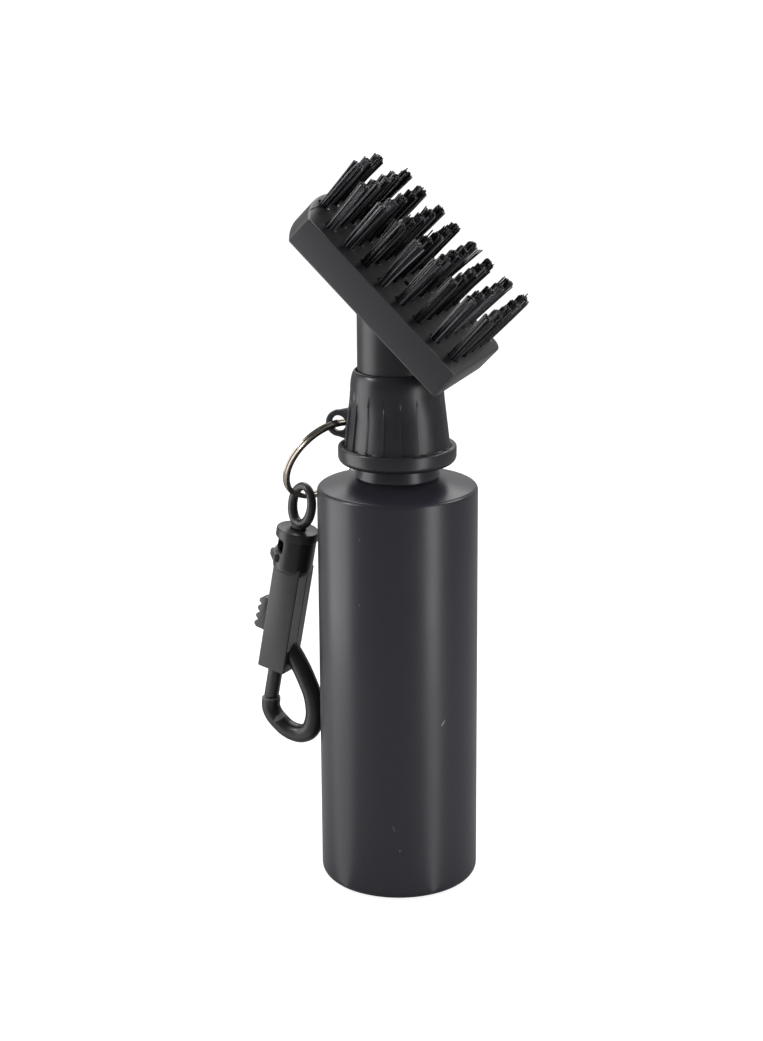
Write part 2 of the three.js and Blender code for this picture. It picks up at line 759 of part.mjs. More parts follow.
function makeBolt() {
  const shank = rod(boltRadius, boltTipZ, boltTopZ, 14);
  const web = plate(tabOutline(), tabWeb);
  const outside = housingLeft - slideGap;
  const wide = plate(tabOutline(), tabWidth);
  const pad = wide.trimByPlane([-1, 0, 0], -outside);
  const stalk = block([housingLeft, -tabWeb / 2, tabBottomZ], [0, tabWeb / 2, boltTopZ]);
  return join(shank, web, pad, stalk);
}

function makeBoltSpring() {
  return coil(boltSpringRadius, boltSpringWire, boltTopZ + seatGap, boreTopZ - seatGap, boltSpringTurns, 9);
}

// ---------------------------------------------------------------- the object

const brush = new THREE.Group();

function finish(color, roughness, metalness = 0) {
  return new THREE.MeshStandardMaterial({ color, roughness, metalness });
}

function addPiece(parent, name, solid, material) {
  const mesh = new THREE.Mesh(toGeometry(solid), material);
  mesh.name = name;
  parent.add(mesh);
  return mesh;
}

addPiece(brush, 'bottle', makeBottle(), finish('#36363a', 0.42));
addPiece(brush, 'cap_collar', makeCap(), finish('#303034', 0.38));
addPiece(brush, 'neck_gasket', makeGasket(), finish('#8a8a86', 0.8));
addPiece(brush, 'valve_insert', makeInsert(), finish('#4a4a4e', 0.5));
addPiece(brush, 'return_spring', makeReturnSpring(), finish('#b9b9b4', 0.3, 1));
addPiece(brush, 'stem_tube', makeStem(), finish('#2c2c2f', 0.4));
addPiece(brush, 'stem_o_ring', makeStemORing(), finish('#1c1c1d', 0.7));
addPiece(brush, 'valve_seal', makeValveSeal(), finish('#1c1c1d', 0.7));
addPiece(brush, 'valve_poppet', makePoppet(), finish('#4a4a4e', 0.5));

const head = new THREE.Group();
head.position.set(blockCentreX, 0, blockCentreZ);
head.rotation.y = blockTilt;
brush.add(head);
addPiece(head, 'brush_block', makeBlock(), finish('#2a2a2c', 0.45));
for (let row = 1; row <= rowCount; row += 1) {
  addPiece(head, `bristle_row_${row}`, makeRow(row), finish('#151516', 0.35));
}

// The split ring hangs from the eyelet: its group's origin is the eyelet's hole
const lanyard = new THREE.Group();
lanyard.position.set(-eyeletReach, 0, capBottom + eyeletLift);
lanyard.rotation.set(ringLay, 0, ringHeading + Math.PI / 2, 'ZXY');
brush.add(lanyard);
const splitRing = addPiece(lanyard, 'split_ring', makeSplitRing(), finish('#c8c2b4', 0.2, 1));
splitRing.position.y = -ringRadius;

// The clip hangs from the split ring's wire
const clipPoint = new THREE.Vector3(ringRadius * Math.sin(clipAngle), ringRadius * (Math.cos(clipAngle) - 1), 0);
lanyard.updateMatrixWorld();
const clip = new THREE.Group();
clip.position.copy(lanyard.localToWorld(clipPoint));
clip.rotation.set(clipLeanBack, clipLean, clipHeading, 'ZXY');
brush.add(clip);
const eye = addPiece(clip, 'swivel_eye', makeSwivelEye(), finish('#3a3a3e', 0.35));
eye.rotation.z = eyeTurn;
const snap = new THREE.Group();
snap.rotation.z = clipTurn;
clip.add(snap);
addPiece(snap, 'hook_body', makeHookBody(), finish('#3c3c40', 0.4));
addPiece(snap, 'bolt_slider', makeBolt(), finish('#3a3a3e', 0.4));
addPiece(snap, 'bolt_spring', makeBoltSpring(), finish('#b9b9b4', 0.3, 1));

export default brush;
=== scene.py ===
"""A club groove brush, dressed for close viewing.

A satin black squeeze bottle carries a ribbed screw cap, a press-valve stem and a tilted block of
nylon bristles.  A snap clip hangs from the cap's eyelet on a nickel split ring.
"""

from __future__ import annotations

import json
import logging
import math
import random
from dataclasses import dataclass
from enum import Enum

import bmesh
import bpy
from bmesh.types import BMEdge, BMesh, BMFace, BMLayerItem, BMVert
from bpy.types import Material, Mesh, Node, NodeSocket, NodeTree, Object
from mathutils import Matrix, Vector


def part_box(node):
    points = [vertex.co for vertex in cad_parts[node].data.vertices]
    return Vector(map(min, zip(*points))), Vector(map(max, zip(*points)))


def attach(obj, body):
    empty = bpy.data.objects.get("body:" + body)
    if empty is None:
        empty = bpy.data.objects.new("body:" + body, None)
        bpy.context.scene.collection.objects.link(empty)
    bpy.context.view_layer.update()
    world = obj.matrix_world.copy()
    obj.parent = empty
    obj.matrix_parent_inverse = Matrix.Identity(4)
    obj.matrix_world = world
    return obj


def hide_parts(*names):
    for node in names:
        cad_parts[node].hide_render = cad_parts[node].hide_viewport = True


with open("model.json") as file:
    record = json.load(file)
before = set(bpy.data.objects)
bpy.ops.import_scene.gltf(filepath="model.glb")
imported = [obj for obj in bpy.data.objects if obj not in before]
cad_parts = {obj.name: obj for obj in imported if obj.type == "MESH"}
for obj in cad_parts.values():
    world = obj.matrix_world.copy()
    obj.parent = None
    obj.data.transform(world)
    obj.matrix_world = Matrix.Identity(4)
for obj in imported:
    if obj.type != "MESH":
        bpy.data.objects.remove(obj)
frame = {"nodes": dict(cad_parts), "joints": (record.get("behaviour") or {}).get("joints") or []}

MM = 0.001
ORIGIN = Vector((0.0, 0.0, 0.0))
UP = Vector((0.0, 0.0, 1.0))
log = logging.getLogger("groove_brush")

Profile = list[tuple[float, float]]


# ------------------------------------------------------------------ node helpers


def linear(colour: str) -> tuple[float, float, float, float]:
    """Turns an sRGB hex colour into linear RGBA.

    Args:
        colour: six hex digits after a hash sign.

    Returns:
        Linear red, green, blue and an alpha of 1.
    """
    parts = [int(colour[i : i + 2], 16) / 255 for i in (1, 3, 5)]
    red, green, blue = (
        part / 12.92 if part <= 0.04045 else ((part + 0.055) / 1.055) ** 2.4 for part in parts
    )
    return red, green, blue, 1.0


def add(
    tree: NodeTree,
    kind: str,
    settings: dict[str, object] | None = None,
    inputs: dict[str | int, object] | None = None,
) -> Node:
    """Adds one node with its settings and links.

    Args:
        tree: the node tree that gets the node.
        kind: the node's type name, without its "ShaderNode" start.
        settings: attributes of the node.
        inputs: a value or an output socket for each input, by name or number.

    Returns:
        The new node.
    """
    node = tree.nodes.new(f"ShaderNode{kind}")
    for key, value in (settings or {}).items():
        setattr(node, key, value)
    for key, value in (inputs or {}).items():
        if isinstance(value, NodeSocket):
            tree.links.new(value, node.inputs[key])
        else:
            node.inputs[key].default_value = value
    return node


def blank_material(name: str) -> tuple[Material, NodeTree]:
    """Makes a material with an empty node tree.

    Args:
        name: the material's name.

    Returns:
        The material and its tree.
    """
    material = bpy.data.materials.new(name)
    material.use_nodes = True
    material.node_tree.nodes.clear()
    return material, material.node_tree


# ------------------------------------------------------------------ finishes


@dataclass(frozen=True)
class Mark:
    """A small scuff on a surface, as a long soft spot.

    Attributes:
        place: its middle in millimetres, in the part's frame.
        length: its length in millimetres.
        width: its width in millimetres.
        slant: its turn in the plane that faces away from the main axis, in degrees from upright.
        strength: how far it lightens the surface, from 0 to 1.
    """

    place: tuple[float, float, float]
    length: float
    width: float
    slant: float
    strength: float


@dataclass(frozen=True)
class MouldedPlastic:
    """Injection or blow moulded plastic with a fine mould texture.

    The texture spreads each highlight into a satin band; slow changes in roughness and colour
    keep large faces from looking painted, and raised edges are rubbed a little lighter.
    """

    name: str
    colour: str
    roughness: float = 0.4
    mould_grain_mm: float = 0.5
    grain_depth_mm: float = 0.012
    flow_mm: float = 14.0
    mottle: float = 0.12
    ior: float = 1.5
    marks: tuple[Mark, ...] = ()

    def build(self) -> Material:
        """Builds the material."""
        material, tree = blank_material(self.name)
        place = add(tree, "TexCoord").outputs["Object"]
        flow = add(
            tree,
            "TexNoise",
            inputs={"Vector": place, "Scale": 1 / (self.flow_mm * MM), "Detail": 3.0, "Roughness": 0.55},
        )
        grain = add(
            tree,
            "TexNoise",
            inputs={"Vector": place, "Scale": 1 / (self.mould_grain_mm * MM), "Detail": 2.0},
        )
        dust = add(
            tree,
            "TexVoronoi",
            {"feature": "F1"},
            {"Vector": place, "Scale": 1 / (3.2 * MM), "Randomness": 1.0},
        )
        speck = add(
            tree,
            "MapRange",
            inputs={
                "Value": dust.outputs["Distance"],
                "From Min": 0.03,
                "From Max": 0.06,
                "To Min": 1.0,
                "To Max": 0.0,
            },
        )
        edge = add(tree, "NewGeometry").outputs["Pointiness"]
        rubbed = add(
            tree,
            "MapRange",
            inputs={"Value": edge, "From Min": 0.53, "From Max": 0.62, "To Min": 0.0, "To Max": 0.28},
        )
        worn = self._worn(tree, place, speck.outputs[0], rubbed.outputs[0])
        base = Vector(linear(self.colour)[:3])
        dark = (*(base * (1 - self.mottle)), 1.0)
        pale = (*(base * (1 + self.mottle)), 1.0)
        moulded = add(tree, "Mix", {"data_type": "RGBA"}, {"Factor": flow.outputs["Fac"], 6: dark, 7: pale})
        scuffed = add(
            tree,
            "Mix",
            {"data_type": "RGBA"},
            {"Factor": worn, 6: moulded.outputs[2], 7: linear("#8d8d92")},
        )
        rough = add(
            tree,
            "MapRange",
            inputs={
                "Value": flow.outputs["Fac"],
                "From Min": 0.3,
                "From Max": 0.7,
                "To Min": self.roughness - 0.035,
                "To Max": self.roughness + 0.045,
            },
        )
        bump = add(
            tree,
            "Bump",
            inputs={"Height": grain.outputs["Fac"], "Strength": 0.5, "Distance": self.grain_depth_mm * MM},
        )
        shader = add(
            tree,
            "BsdfPrincipled",
            inputs={
                "Base Color": scuffed.outputs[2],
                "Roughness": rough.outputs[0],
                "IOR": self.ior,
                "Normal": bump.outputs["Normal"],
            },
        )
        add(tree, "OutputMaterial", inputs={"Surface": shader.outputs[0]})
        return material

    def _worn(self, tree: NodeTree, place: NodeSocket, speck: NodeSocket, rubbed: NodeSocket) -> NodeSocket:
        """Adds up the dust, the rubbed edges and the marks.

        Args:
            tree: the material's tree.
            place: the object coordinates.
            speck: where a dust speck lies, from 0 to 1.
            rubbed: how far an edge is rubbed.

        Returns:
            How worn the surface is, from 0 to 1.
        """
        faint = add(tree, "Math", {"operation": "MULTIPLY"}, {0: speck, 1: 0.05})
        worn = add(tree, "Math", {"operation": "ADD"}, {0: faint.outputs[0], 1: rubbed}).outputs[0]
        for mark in self.marks:
            middle = Vector(mark.place) * MM
            heading = math.atan2(middle.y, middle.x)
            mapped = add(
                tree,
                "Mapping",
                {"vector_type": "TEXTURE"},
                {
                    "Vector": place,
                    "Location": middle,
                    "Rotation": (math.radians(mark.slant), 0.0, heading),
                    "Scale": (4 * MM, mark.width * MM, mark.length * MM),
                },
            )
            reach = add(tree, "VectorMath", {"operation": "LENGTH"}, {0: mapped.outputs[0]})
            spot = add(
                tree,
                "MapRange",
                {"interpolation_type": "SMOOTHSTEP"},
                {
                    "Value": reach.outputs["Value"],
                    "From Min": 0.2,
                    "From Max": 0.5,
                    "To Min": mark.strength,
                    "To Max": 0.0,
                },
            )
            worn = add(tree, "Math", {"operation": "ADD"}, {0: worn, 1: spot.outputs[0]}).outputs[0]
        return worn


@dataclass(frozen=True)
class NylonFilament:
    """Drawn nylon 6 filament: near black, with a tight bright streak down each and a painted highlight on a
    few strands.
    """

    name: str
    colour: str
    # pale: the colour of the painted highlight that a few strands carry
    pale: str
    roughness: float = 0.26

    def build(self) -> Material:
        """Builds the material."""
        material, tree = blank_material(self.name)
        strand = add(tree, "Attribute", {"attribute_name": "strand"}).outputs["Fac"]
        place = add(tree, "TexCoord").outputs["Object"]
        drawn = add(tree, "TexNoise", inputs={"Vector": place, "Scale": 1 / (1.5 * MM), "Detail": 2.0})
        # the strand layer mixes in the pale colour, a painted highlight streak on a few strands
        tint = add(
            tree,
            "Mix",
            {"data_type": "RGBA"},
            {"Factor": strand, 6: linear(self.colour), 7: linear(self.pale)},
        )
        rough = add(
            tree,
            "MapRange",
            inputs={
                "Value": drawn.outputs["Fac"],
                "To Min": self.roughness - 0.06,
                "To Max": self.roughness + 0.1,
            },
        )
        shader = add(
            tree,
            "BsdfPrincipled",
            inputs={"Base Color": tint.outputs[2], "Roughness": rough.outputs[0], "IOR": 1.53},
        )
        add(tree, "OutputMaterial", inputs={"Surface": shader.outputs[0]})
        return material


@dataclass(frozen=True)
class PlatedMetal:
    """Plated or drawn metal wire: a mirror broken up by fine draw lines and soft tarnish."""

    name: str
    colour: str
    tarnish: str
    roughness: float = 0.16
    line_mm: float = 0.35

    def build(self) -> Material:
        """Builds the material."""
        material, tree = blank_material(self.name)
        place = add(tree, "TexCoord").outputs["Object"]
        cloud = add(tree, "TexNoise", inputs={"Vector": place, "Scale": 1 / (3 * MM), "Detail": 4.0})
        lines = add(
            tree, "TexNoise", inputs={"Vector": place, "Scale": 1 / (self.line_mm * MM), "Detail": 2.0}
        )
        tint = add(
            tree,
            "Mix",
            {"data_type": "RGBA"},
            {"Factor": cloud.outputs["Fac"], 6: linear(self.colour), 7: linear(self.tarnish)},
        )
        rough = add(
            tree,
            "MapRange",
            inputs={
                "Value": cloud.outputs["Fac"],
                "To Min": self.roughness - 0.05,
                "To Max": self.roughness + 0.14,
            },
        )
        bump = add(
            tree, "Bump", inputs={"Height": lines.outputs["Fac"], "Strength": 0.25, "Distance": 0.01 * MM}
        )
        shader = add(
            tree,
            "BsdfPrincipled",
            inputs={
                "Base Color": tint.outputs[2],
                "Metallic": 1.0,
                "Roughness": rough.outputs[0],
                "Normal": bump.outputs["Normal"],
            },
        )
        add(tree, "OutputMaterial", inputs={"Surface": shader.outputs[0]})
        return material


@dataclass(frozen=True)
class SealRubber:
    """Moulded nitrile or silicone rubber: matt, with a dusty bloom."""

    name: str
    colour: str
    bloom: str

    def build(self) -> Material:
        """Builds the material."""
        material, tree = blank_material(self.name)
        place = add(tree, "TexCoord").outputs["Object"]
        dust = add(tree, "TexNoise", inputs={"Vector": place, "Scale": 1 / (1.2 * MM), "Detail": 5.0})
        tint = add(
            tree,
            "Mix",
            {"data_type": "RGBA"},
            {"Factor": dust.outputs["Fac"], 6: linear(self.colour), 7: linear(self.bloom)},
        )
        bump = add(
            tree, "Bump", inputs={"Height": dust.outputs["Fac"], "Strength": 0.3, "Distance": 0.03 * MM}
        )
        shader = add(
            tree,
            "BsdfPrincipled",
            inputs={
                "Base Color": tint.outputs[2],
                "Roughness": 0.72,
                "IOR": 1.52,
                "Normal": bump.outputs["Normal"],
            },
        )
        add(tree, "OutputMaterial", inputs={"Surface": shader.outputs[0]})
        return material


BOTTLE_MARKS = (
    Mark(place=(16.1, -11.9, 47.4), length=2.6, width=0.5, slant=-38.0, strength=0.7),
    Mark(place=(5.6, -19.2, 20.0), length=2.6, width=0.4, slant=25.0, strength=0.22),
    Mark(place=(7.0, -18.7, 14.0), length=0.8, width=0.5, slant=0.0, strength=0.35),
    Mark(place=(-2.6, -19.8, 96.0), length=0.8, width=0.4, slant=10.0, strength=0.3),
    Mark(place=(-2.8, -19.8, 79.0), length=0.7, width=0.4, slant=0.0, strength=0.3),
)


class Finish(Enum):
    """The object's finishes, each for one kind of moulding, wire or seal."""

    BOTTLE = MouldedPlastic(
        "blow moulded polyethylene", "#232229", 0.32, 0.7, 0.014, 26.0, 0.07, marks=BOTTLE_MARKS
    )
    CAP = MouldedPlastic("moulded polypropylene cap", "#1d1c21", 0.34, 0.5, 0.01, 9.0)
    STEM = MouldedPlastic("moulded polypropylene stem", "#1c1b20", 0.38)
    BLOCK = MouldedPlastic("moulded polypropylene block", "#100f13", 0.42, 0.6, 0.016)
    CLIP = MouldedPlastic("moulded acetal clip", "#0f0f12", 0.34, 0.5, 0.012, 8.0)
    # a light grey drawn on the housing's side face and strip, much paler than the clip
    CLIP_FACE = MouldedPlastic("pale acetal side", "#7b7872", 0.55, 0.6, 0.02, 6.0)
    VALVE = MouldedPlastic("moulded acetal valve", "#4a4a4e", 0.45)
    # the second colour is a painted highlight, laid on a few strands as light streaks
    BRISTLE = NylonFilament("drawn nylon filament", "#08080a", "#77777d")
    NICKEL = PlatedMetal("bright nickel plate", "#a8a196", "#857e74", 0.24)
    SPRING = PlatedMetal("drawn spring steel", "#a9a9a6", "#7d7c78", 0.28)
    SEAL = SealRubber("nitrile seal rubber", "#19191a", "#2c2c2e")
    GASKET = SealRubber("silicone gasket rubber", "#84847f", "#9a9a94")


def material(finish: Finish) -> Material:
    """Gives the material of a finish, made once.

    Args:
        finish: the finish.

    Returns:
        Its material.
    """
    found = bpy.data.materials.get(finish.value.name)
    return found or finish.value.build()


# ------------------------------------------------------------------ mesh helpers


def arc(centre: tuple[float, float], radius: float, start: float, end: float, steps: int = 6) -> Profile:
    """Gives points on a round for a profile.

    Args:
        centre: radius and height of the round's centre.
        radius: the round's radius.
        start: first angle in degrees, from outwards towards up.
        end: last angle in degrees.
        steps: how many chords the round gets.

    Returns:
        The points, ends included.
    """
    angles = [math.radians(start + (end - start) * i / steps) for i in range(steps + 1)]
    return [(centre[0] + radius * math.cos(a), centre[1] + radius * math.sin(a)) for a in angles]


def turned(profile: Profile, steps: int = 96, closed: bool = True) -> BMesh:
    """Spins a profile round the Z axis.

    Args:
        profile: points of radius and height.
        steps: faces round the axis.
        closed: whether the last point joins the first.

    Returns:
        The turned mesh.
    """
    bm = bmesh.new()
    points = [bm.verts.new((radius, 0.0, height)) for radius, height in profile]
    pairs = list(zip(points, points[1:]))
    if closed:
        pairs.append((points[-1], points[0]))
    edges = [bm.edges.new(pair) for pair in pairs]
    bmesh.ops.spin(
        bm,
        geom=points + edges,
        cent=ORIGIN,
        axis=UP,
        angle=2 * math.pi,
        steps=steps,
        use_merge=True,
        use_duplicate=False,
    )
    bmesh.ops.remove_doubles(bm, verts=bm.verts, dist=1e-4)
    bmesh.ops.recalc_face_normals(bm, faces=bm.faces)
    return bm


def helix(
    section: Profile,
    centre_radius: float,
    start: float,
    pitch: float,
    turns: float,
    steps_per_turn: int = 40,
) -> BMesh:
    """Winds a closed section round the Z axis.

    Args:
        section: points of the section about its middle.
        centre_radius: main axis to the section's middle.
        start: height of the section's middle at the start.
        pitch: rise of one turn.
        turns: how many turns.
        steps_per_turn: faces round each turn.

    Returns:
        The wound mesh with its two ends closed.
    """
    bm = bmesh.new()
    points = [bm.verts.new((centre_radius + x, 0.0, start + z)) for x, z in section]
    face = bm.faces.new(points)
    steps = round(turns * steps_per_turn)
    bmesh.ops.spin(
        bm,
        geom=[face, *face.edges, *points],
        cent=ORIGIN,
        axis=UP,
        dvec=UP * (pitch * turns / steps),
        angle=2 * math.pi * turns,
        steps=steps,
        use_merge=False,
        use_duplicate=False,
    )
    open_edges = [edge for edge in bm.edges if edge.is_boundary]
    bmesh.ops.holes_fill(bm, edges=open_edges, sides=0)
    bmesh.ops.recalc_face_normals(bm, faces=bm.faces)
    return bm


def bevelled(bm: BMesh, edges: list[BMEdge], width: float, segments: int = 3) -> None:
    """Rounds edges of a mesh.

    Args:
        bm: the mesh.
        edges: the edges to round.
        width: how far the round reaches from each edge.
        segments: faces across the round.
    """
    bmesh.ops.bevel(
        bm,
        geom=edges,
        offset=width,
        segments=segments,
        profile=0.5,
        affect="EDGES",
        material=-1,
        clamp_overlap=True,
    )


def drawn_out(bm: BMesh, faces: list[BMFace], shift: tuple[float, float, float]) -> list[BMFace]:
    """Extrudes faces of a mesh.

    Args:
        bm: the mesh.
        faces: the faces to extrude.
        shift: where the new faces go.

    Returns:
        The new faces.
    """
    grown = bmesh.ops.extrude_face_region(bm, geom=faces)["geom"]
    new_corners = [item for item in grown if isinstance(item, BMVert)]
    bmesh.ops.translate(bm, vec=shift, verts=new_corners)
    return [item for item in grown if isinstance(item, BMFace)]


def rounded_box(low: Vector, high: Vector, edge: float, segments: int = 3) -> BMesh:
    """Makes a box with rounded edges.

    Args:
        low: its lowest corner.
        high: its highest corner.
        edge: the radius along its edges.
        segments: faces across each rounded edge.

    Returns:
        The box.
    """
    bm = bmesh.new()
    bmesh.ops.create_cube(bm, size=1.0)
    size = high - low
    bmesh.ops.scale(bm, vec=size, verts=bm.verts)
    bmesh.ops.translate(bm, vec=(low + high) / 2, verts=bm.verts)
    bevelled(bm, list(bm.edges), edge, segments)
    return bm


def cylinder(radius: float, low: float, high: float, edge: float = 0.0, sides: int = 48) -> BMesh:
    """Makes an upright cylinder with rounded rims.

    Args:
        radius: its radius.
        low: height of its lower end.
        high: height of its upper end.
        edge: the radius along its rims.
        sides: faces round it.

    Returns:
        The cylinder.
    """
    if edge <= 0:
        return turned([(0.0, low), (radius, low), (radius, high), (0.0, high)], sides, closed=False)
    lower = arc((radius - edge, low + edge), edge, -90, 0, 3)
    upper = arc((radius - edge, high - edge), edge, 0, 90, 3)
    return turned([(0.0, low), *lower, *upper, (0.0, high)], sides, closed=False)


def tube(
    points: list[Vector],
    radius: float,
    cyclic: bool = False,
    resolution: int = 8,
    swell: list[float] | None = None,
) -> BMesh:
    """Runs a round rod along a smooth line.

    Args:
        points: points that the line passes through.
        radius: the rod's radius.
        cyclic: whether the line closes on itself.
        resolution: faces on a quarter turn of the rod, and steps between points.
        swell: the rod's thickness at each point, as a share of the radius.

    Returns:
        The rod, with its ends closed.
    """
    curve = bpy.data.curves.new("rod", "CURVE")
    curve.dimensions = "3D"
    curve.bevel_depth = radius
    curve.bevel_resolution = resolution // 2
    curve.fill_mode = "FULL"
    curve.resolution_u = resolution
    curve.use_fill_caps = not cyclic
    spline = curve.splines.new("BEZIER")
    spline.bezier_points.add(len(points) - 1)
    for knot, point, share in zip(spline.bezier_points, points, swell or [1.0] * len(points)):
        knot.co = point
        knot.radius = share
        knot.handle_left_type = knot.handle_right_type = "AUTO"
    spline.use_cyclic_u = cyclic
    holder = bpy.data.objects.new("rod", curve)
    mesh = bpy.data.meshes.new_from_object(holder)
    bm = bmesh.new()
    bm.from_mesh(mesh)
    bmesh.ops.remove_doubles(bm, verts=bm.verts, dist=1e-5)
    bmesh.ops.recalc_face_normals(bm, faces=bm.faces)
    bpy.data.objects.remove(holder)
    bpy.data.meshes.remove(mesh)
    bpy.data.curves.remove(curve)
    return bm


def merged(*parts: BMesh) -> BMesh:
    """Puts several meshes into one.

    Args:
        parts: the meshes, which are used up.

    Returns:
        One mesh that holds them all.
    """
    whole = bmesh.new()
    for part in parts:
        mesh = bpy.data.meshes.new("part")
        part.to_mesh(mesh)
        part.free()
        whole.from_mesh(mesh)
        bpy.data.meshes.remove(mesh)
    return whole


def moved(bm: BMesh, place: Matrix) -> BMesh:
    """Moves a mesh.

    Args:
        bm: the mesh.
        place: where it goes.

    Returns:
        The same mesh.
    """
    bmesh.ops.transform(bm, matrix=place, verts=bm.verts)
    return bm


def loose_object(name: str, bm: BMesh) -> Object:
    """Turns a mesh in millimetres into an object in metres at the origin.

    Args:
        name: the object's name.
        bm: the mesh, which is used up.

    Returns:
        The object, linked to the scene.
    """
    mesh = bpy.data.meshes.new(name)
    bmesh.ops.scale(bm, vec=(MM, MM, MM), verts=bm.verts)
    bm.to_mesh(mesh)
    bm.free()
    made = bpy.data.objects.new(name, mesh)
    bpy.context.scene.collection.objects.link(made)
    return made


def carved(name: str, solid: BMesh, *cutters: BMesh) -> BMesh:
    """Cuts solids out of a solid.

    Args:
        name: a name for the scratch objects.
        solid: the solid to cut, in millimetres.
        cutters: what is taken away, in millimetres.

    Returns:
        What is left, in millimetres.
    """
    target = loose_object(name, solid)
    knives = [loose_object(f"{name}_cut", cutter) for cutter in cutters]
    for knife in knives:
        modifier = target.modifiers.new("cut", "BOOLEAN")
        modifier.operation = "DIFFERENCE"
        modifier.solver = "EXACT"
        modifier.object = knife
    graph = bpy.context.evaluated_depsgraph_get()
    mesh = bpy.data.meshes.new_from_object(target.evaluated_get(graph))
    bm = bmesh.new()
    bm.from_mesh(mesh)
    bmesh.ops.scale(bm, vec=(1 / MM, 1 / MM, 1 / MM), verts=bm.verts)
    bmesh.ops.remove_doubles(bm, verts=bm.verts, dist=1e-4)
    for scratch in [target, *knives]:
        data = scratch.data
        bpy.data.objects.remove(scratch)
        bpy.data.meshes.remove(data)
    bpy.data.meshes.remove(mesh)
    return bm


def piece(
    name: str, bm: BMesh, body: str, finish: Finish, replaces: tuple[str, ...], crease: float
) -> Object:
    """Makes a finished piece that rides on a body.

    Args:
        name: the piece's name.
        bm: its mesh in millimetres, which is used up.
        body: the body that it rides on.
        finish: its finish.
        replaces: the solids that it stands for.
        crease: edges sharper than this many degrees stay crisp.

    Returns:
        The piece.
    """
    made = loose_object(name, bm)
    made.data.materials.append(material(finish))
    made.data.shade_smooth()
    made.data.set_sharp_from_angle(angle=math.radians(crease))
    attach(made, body)
    if replaces:
        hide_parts(*replaces)
    log.info("%s: %d faces on %s", name, len(made.data.polygons), body)
    return made


# ------------------------------------------------------------------ bottle


@dataclass
class Bottle:
    """The blow moulded bottle with its shoulder, neck band and screw thread, in millimetres."""

    height: float = 105.2
    wall: float = 1.3
    base_round: float = 2.6
    shoulder_round: float = 1.2
    shoulder_rise: float = 2.19
    neck_radius: float = 10.0
    neck_bore: float = 8.0
    band_lift: float = 1.2
    band_height: float = 2.3
    thread_depth: float = 0.9
    thread_root: float = 1.4
    thread_crest: float = 0.6
    thread_pitch: float = 3.0
    thread_turns: float = 1.25
    thread_lead: float = 2.1
    base_dish: float = 1.2

    def build(self) -> Object:
        """Builds the bottle in place of its solid."""
        low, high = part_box("bottle")
        radius = (high.x - low.x) / 2 / MM
        neck_top = high.z / MM
        shoulder = self.height + self.shoulder_rise
        turn = self.shoulder_round
        band_low = shoulder + self.band_lift
        band_high = band_low + self.band_height
        ring = radius - self.base_round
        profile = [
            (0.0, self.base_dish),
            (ring * 0.6, self.base_dish * 0.9),
            (ring - 2.2, 0.35),
            (ring - 1.2, 0.0),
            *arc((ring, self.base_round), self.base_round, -90, 0, 8),
            (radius, self.height * 0.33),
            (radius, self.height * 0.66),
            *arc((radius - turn, self.height - turn), turn, 0, 78, 6),
            *arc((self.neck_radius + 0.3, shoulder + 0.3 - 0.03), 0.3, -90, -170, 4),
            (self.neck_radius + 0.7, shoulder + 0.5),
            (self.neck_radius + 0.3, band_high - 0.6),
            *arc((self.neck_radius - 0.2, band_high - 0.5), 0.5, 10, 90, 4),
            (self.neck_radius, band_high),
            *arc((self.neck_radius - 0.3, neck_top - 0.3), 0.3, 0, 90, 2),
            *arc((self.neck_bore + 0.3, neck_top - 0.3), 0.3, 90, 180, 2),
            (self.neck_bore, shoulder - self.wall),
            (radius - self.wall - 0.8, self.height - self.wall - 1.0),
            (radius - self.wall, self.height - self.wall - 2.4),
            (radius - self.wall, self.base_round + 1.0),
            (radius - self.wall - 1.4, self.wall + 1.1),
            (0.0, self.wall + self.base_dish),
        ]
        body = turned(profile, 128, closed=False)
        root, crest, depth = self.thread_root / 2, self.thread_crest / 2, self.thread_depth
        section = [(-0.3, -root), (0.0, -root), (depth, -crest), (depth, crest), (0.0, root), (-0.3, root)]
        start = band_high + self.thread_lead
        thread = helix(section, self.neck_radius, start, self.thread_pitch, self.thread_turns)
        whole = merged(body, thread)
        return piece("bottle_body", whole, "bottle", Finish.BOTTLE, ("bottle",), 40)


# ------------------------------------------------------------------ cap


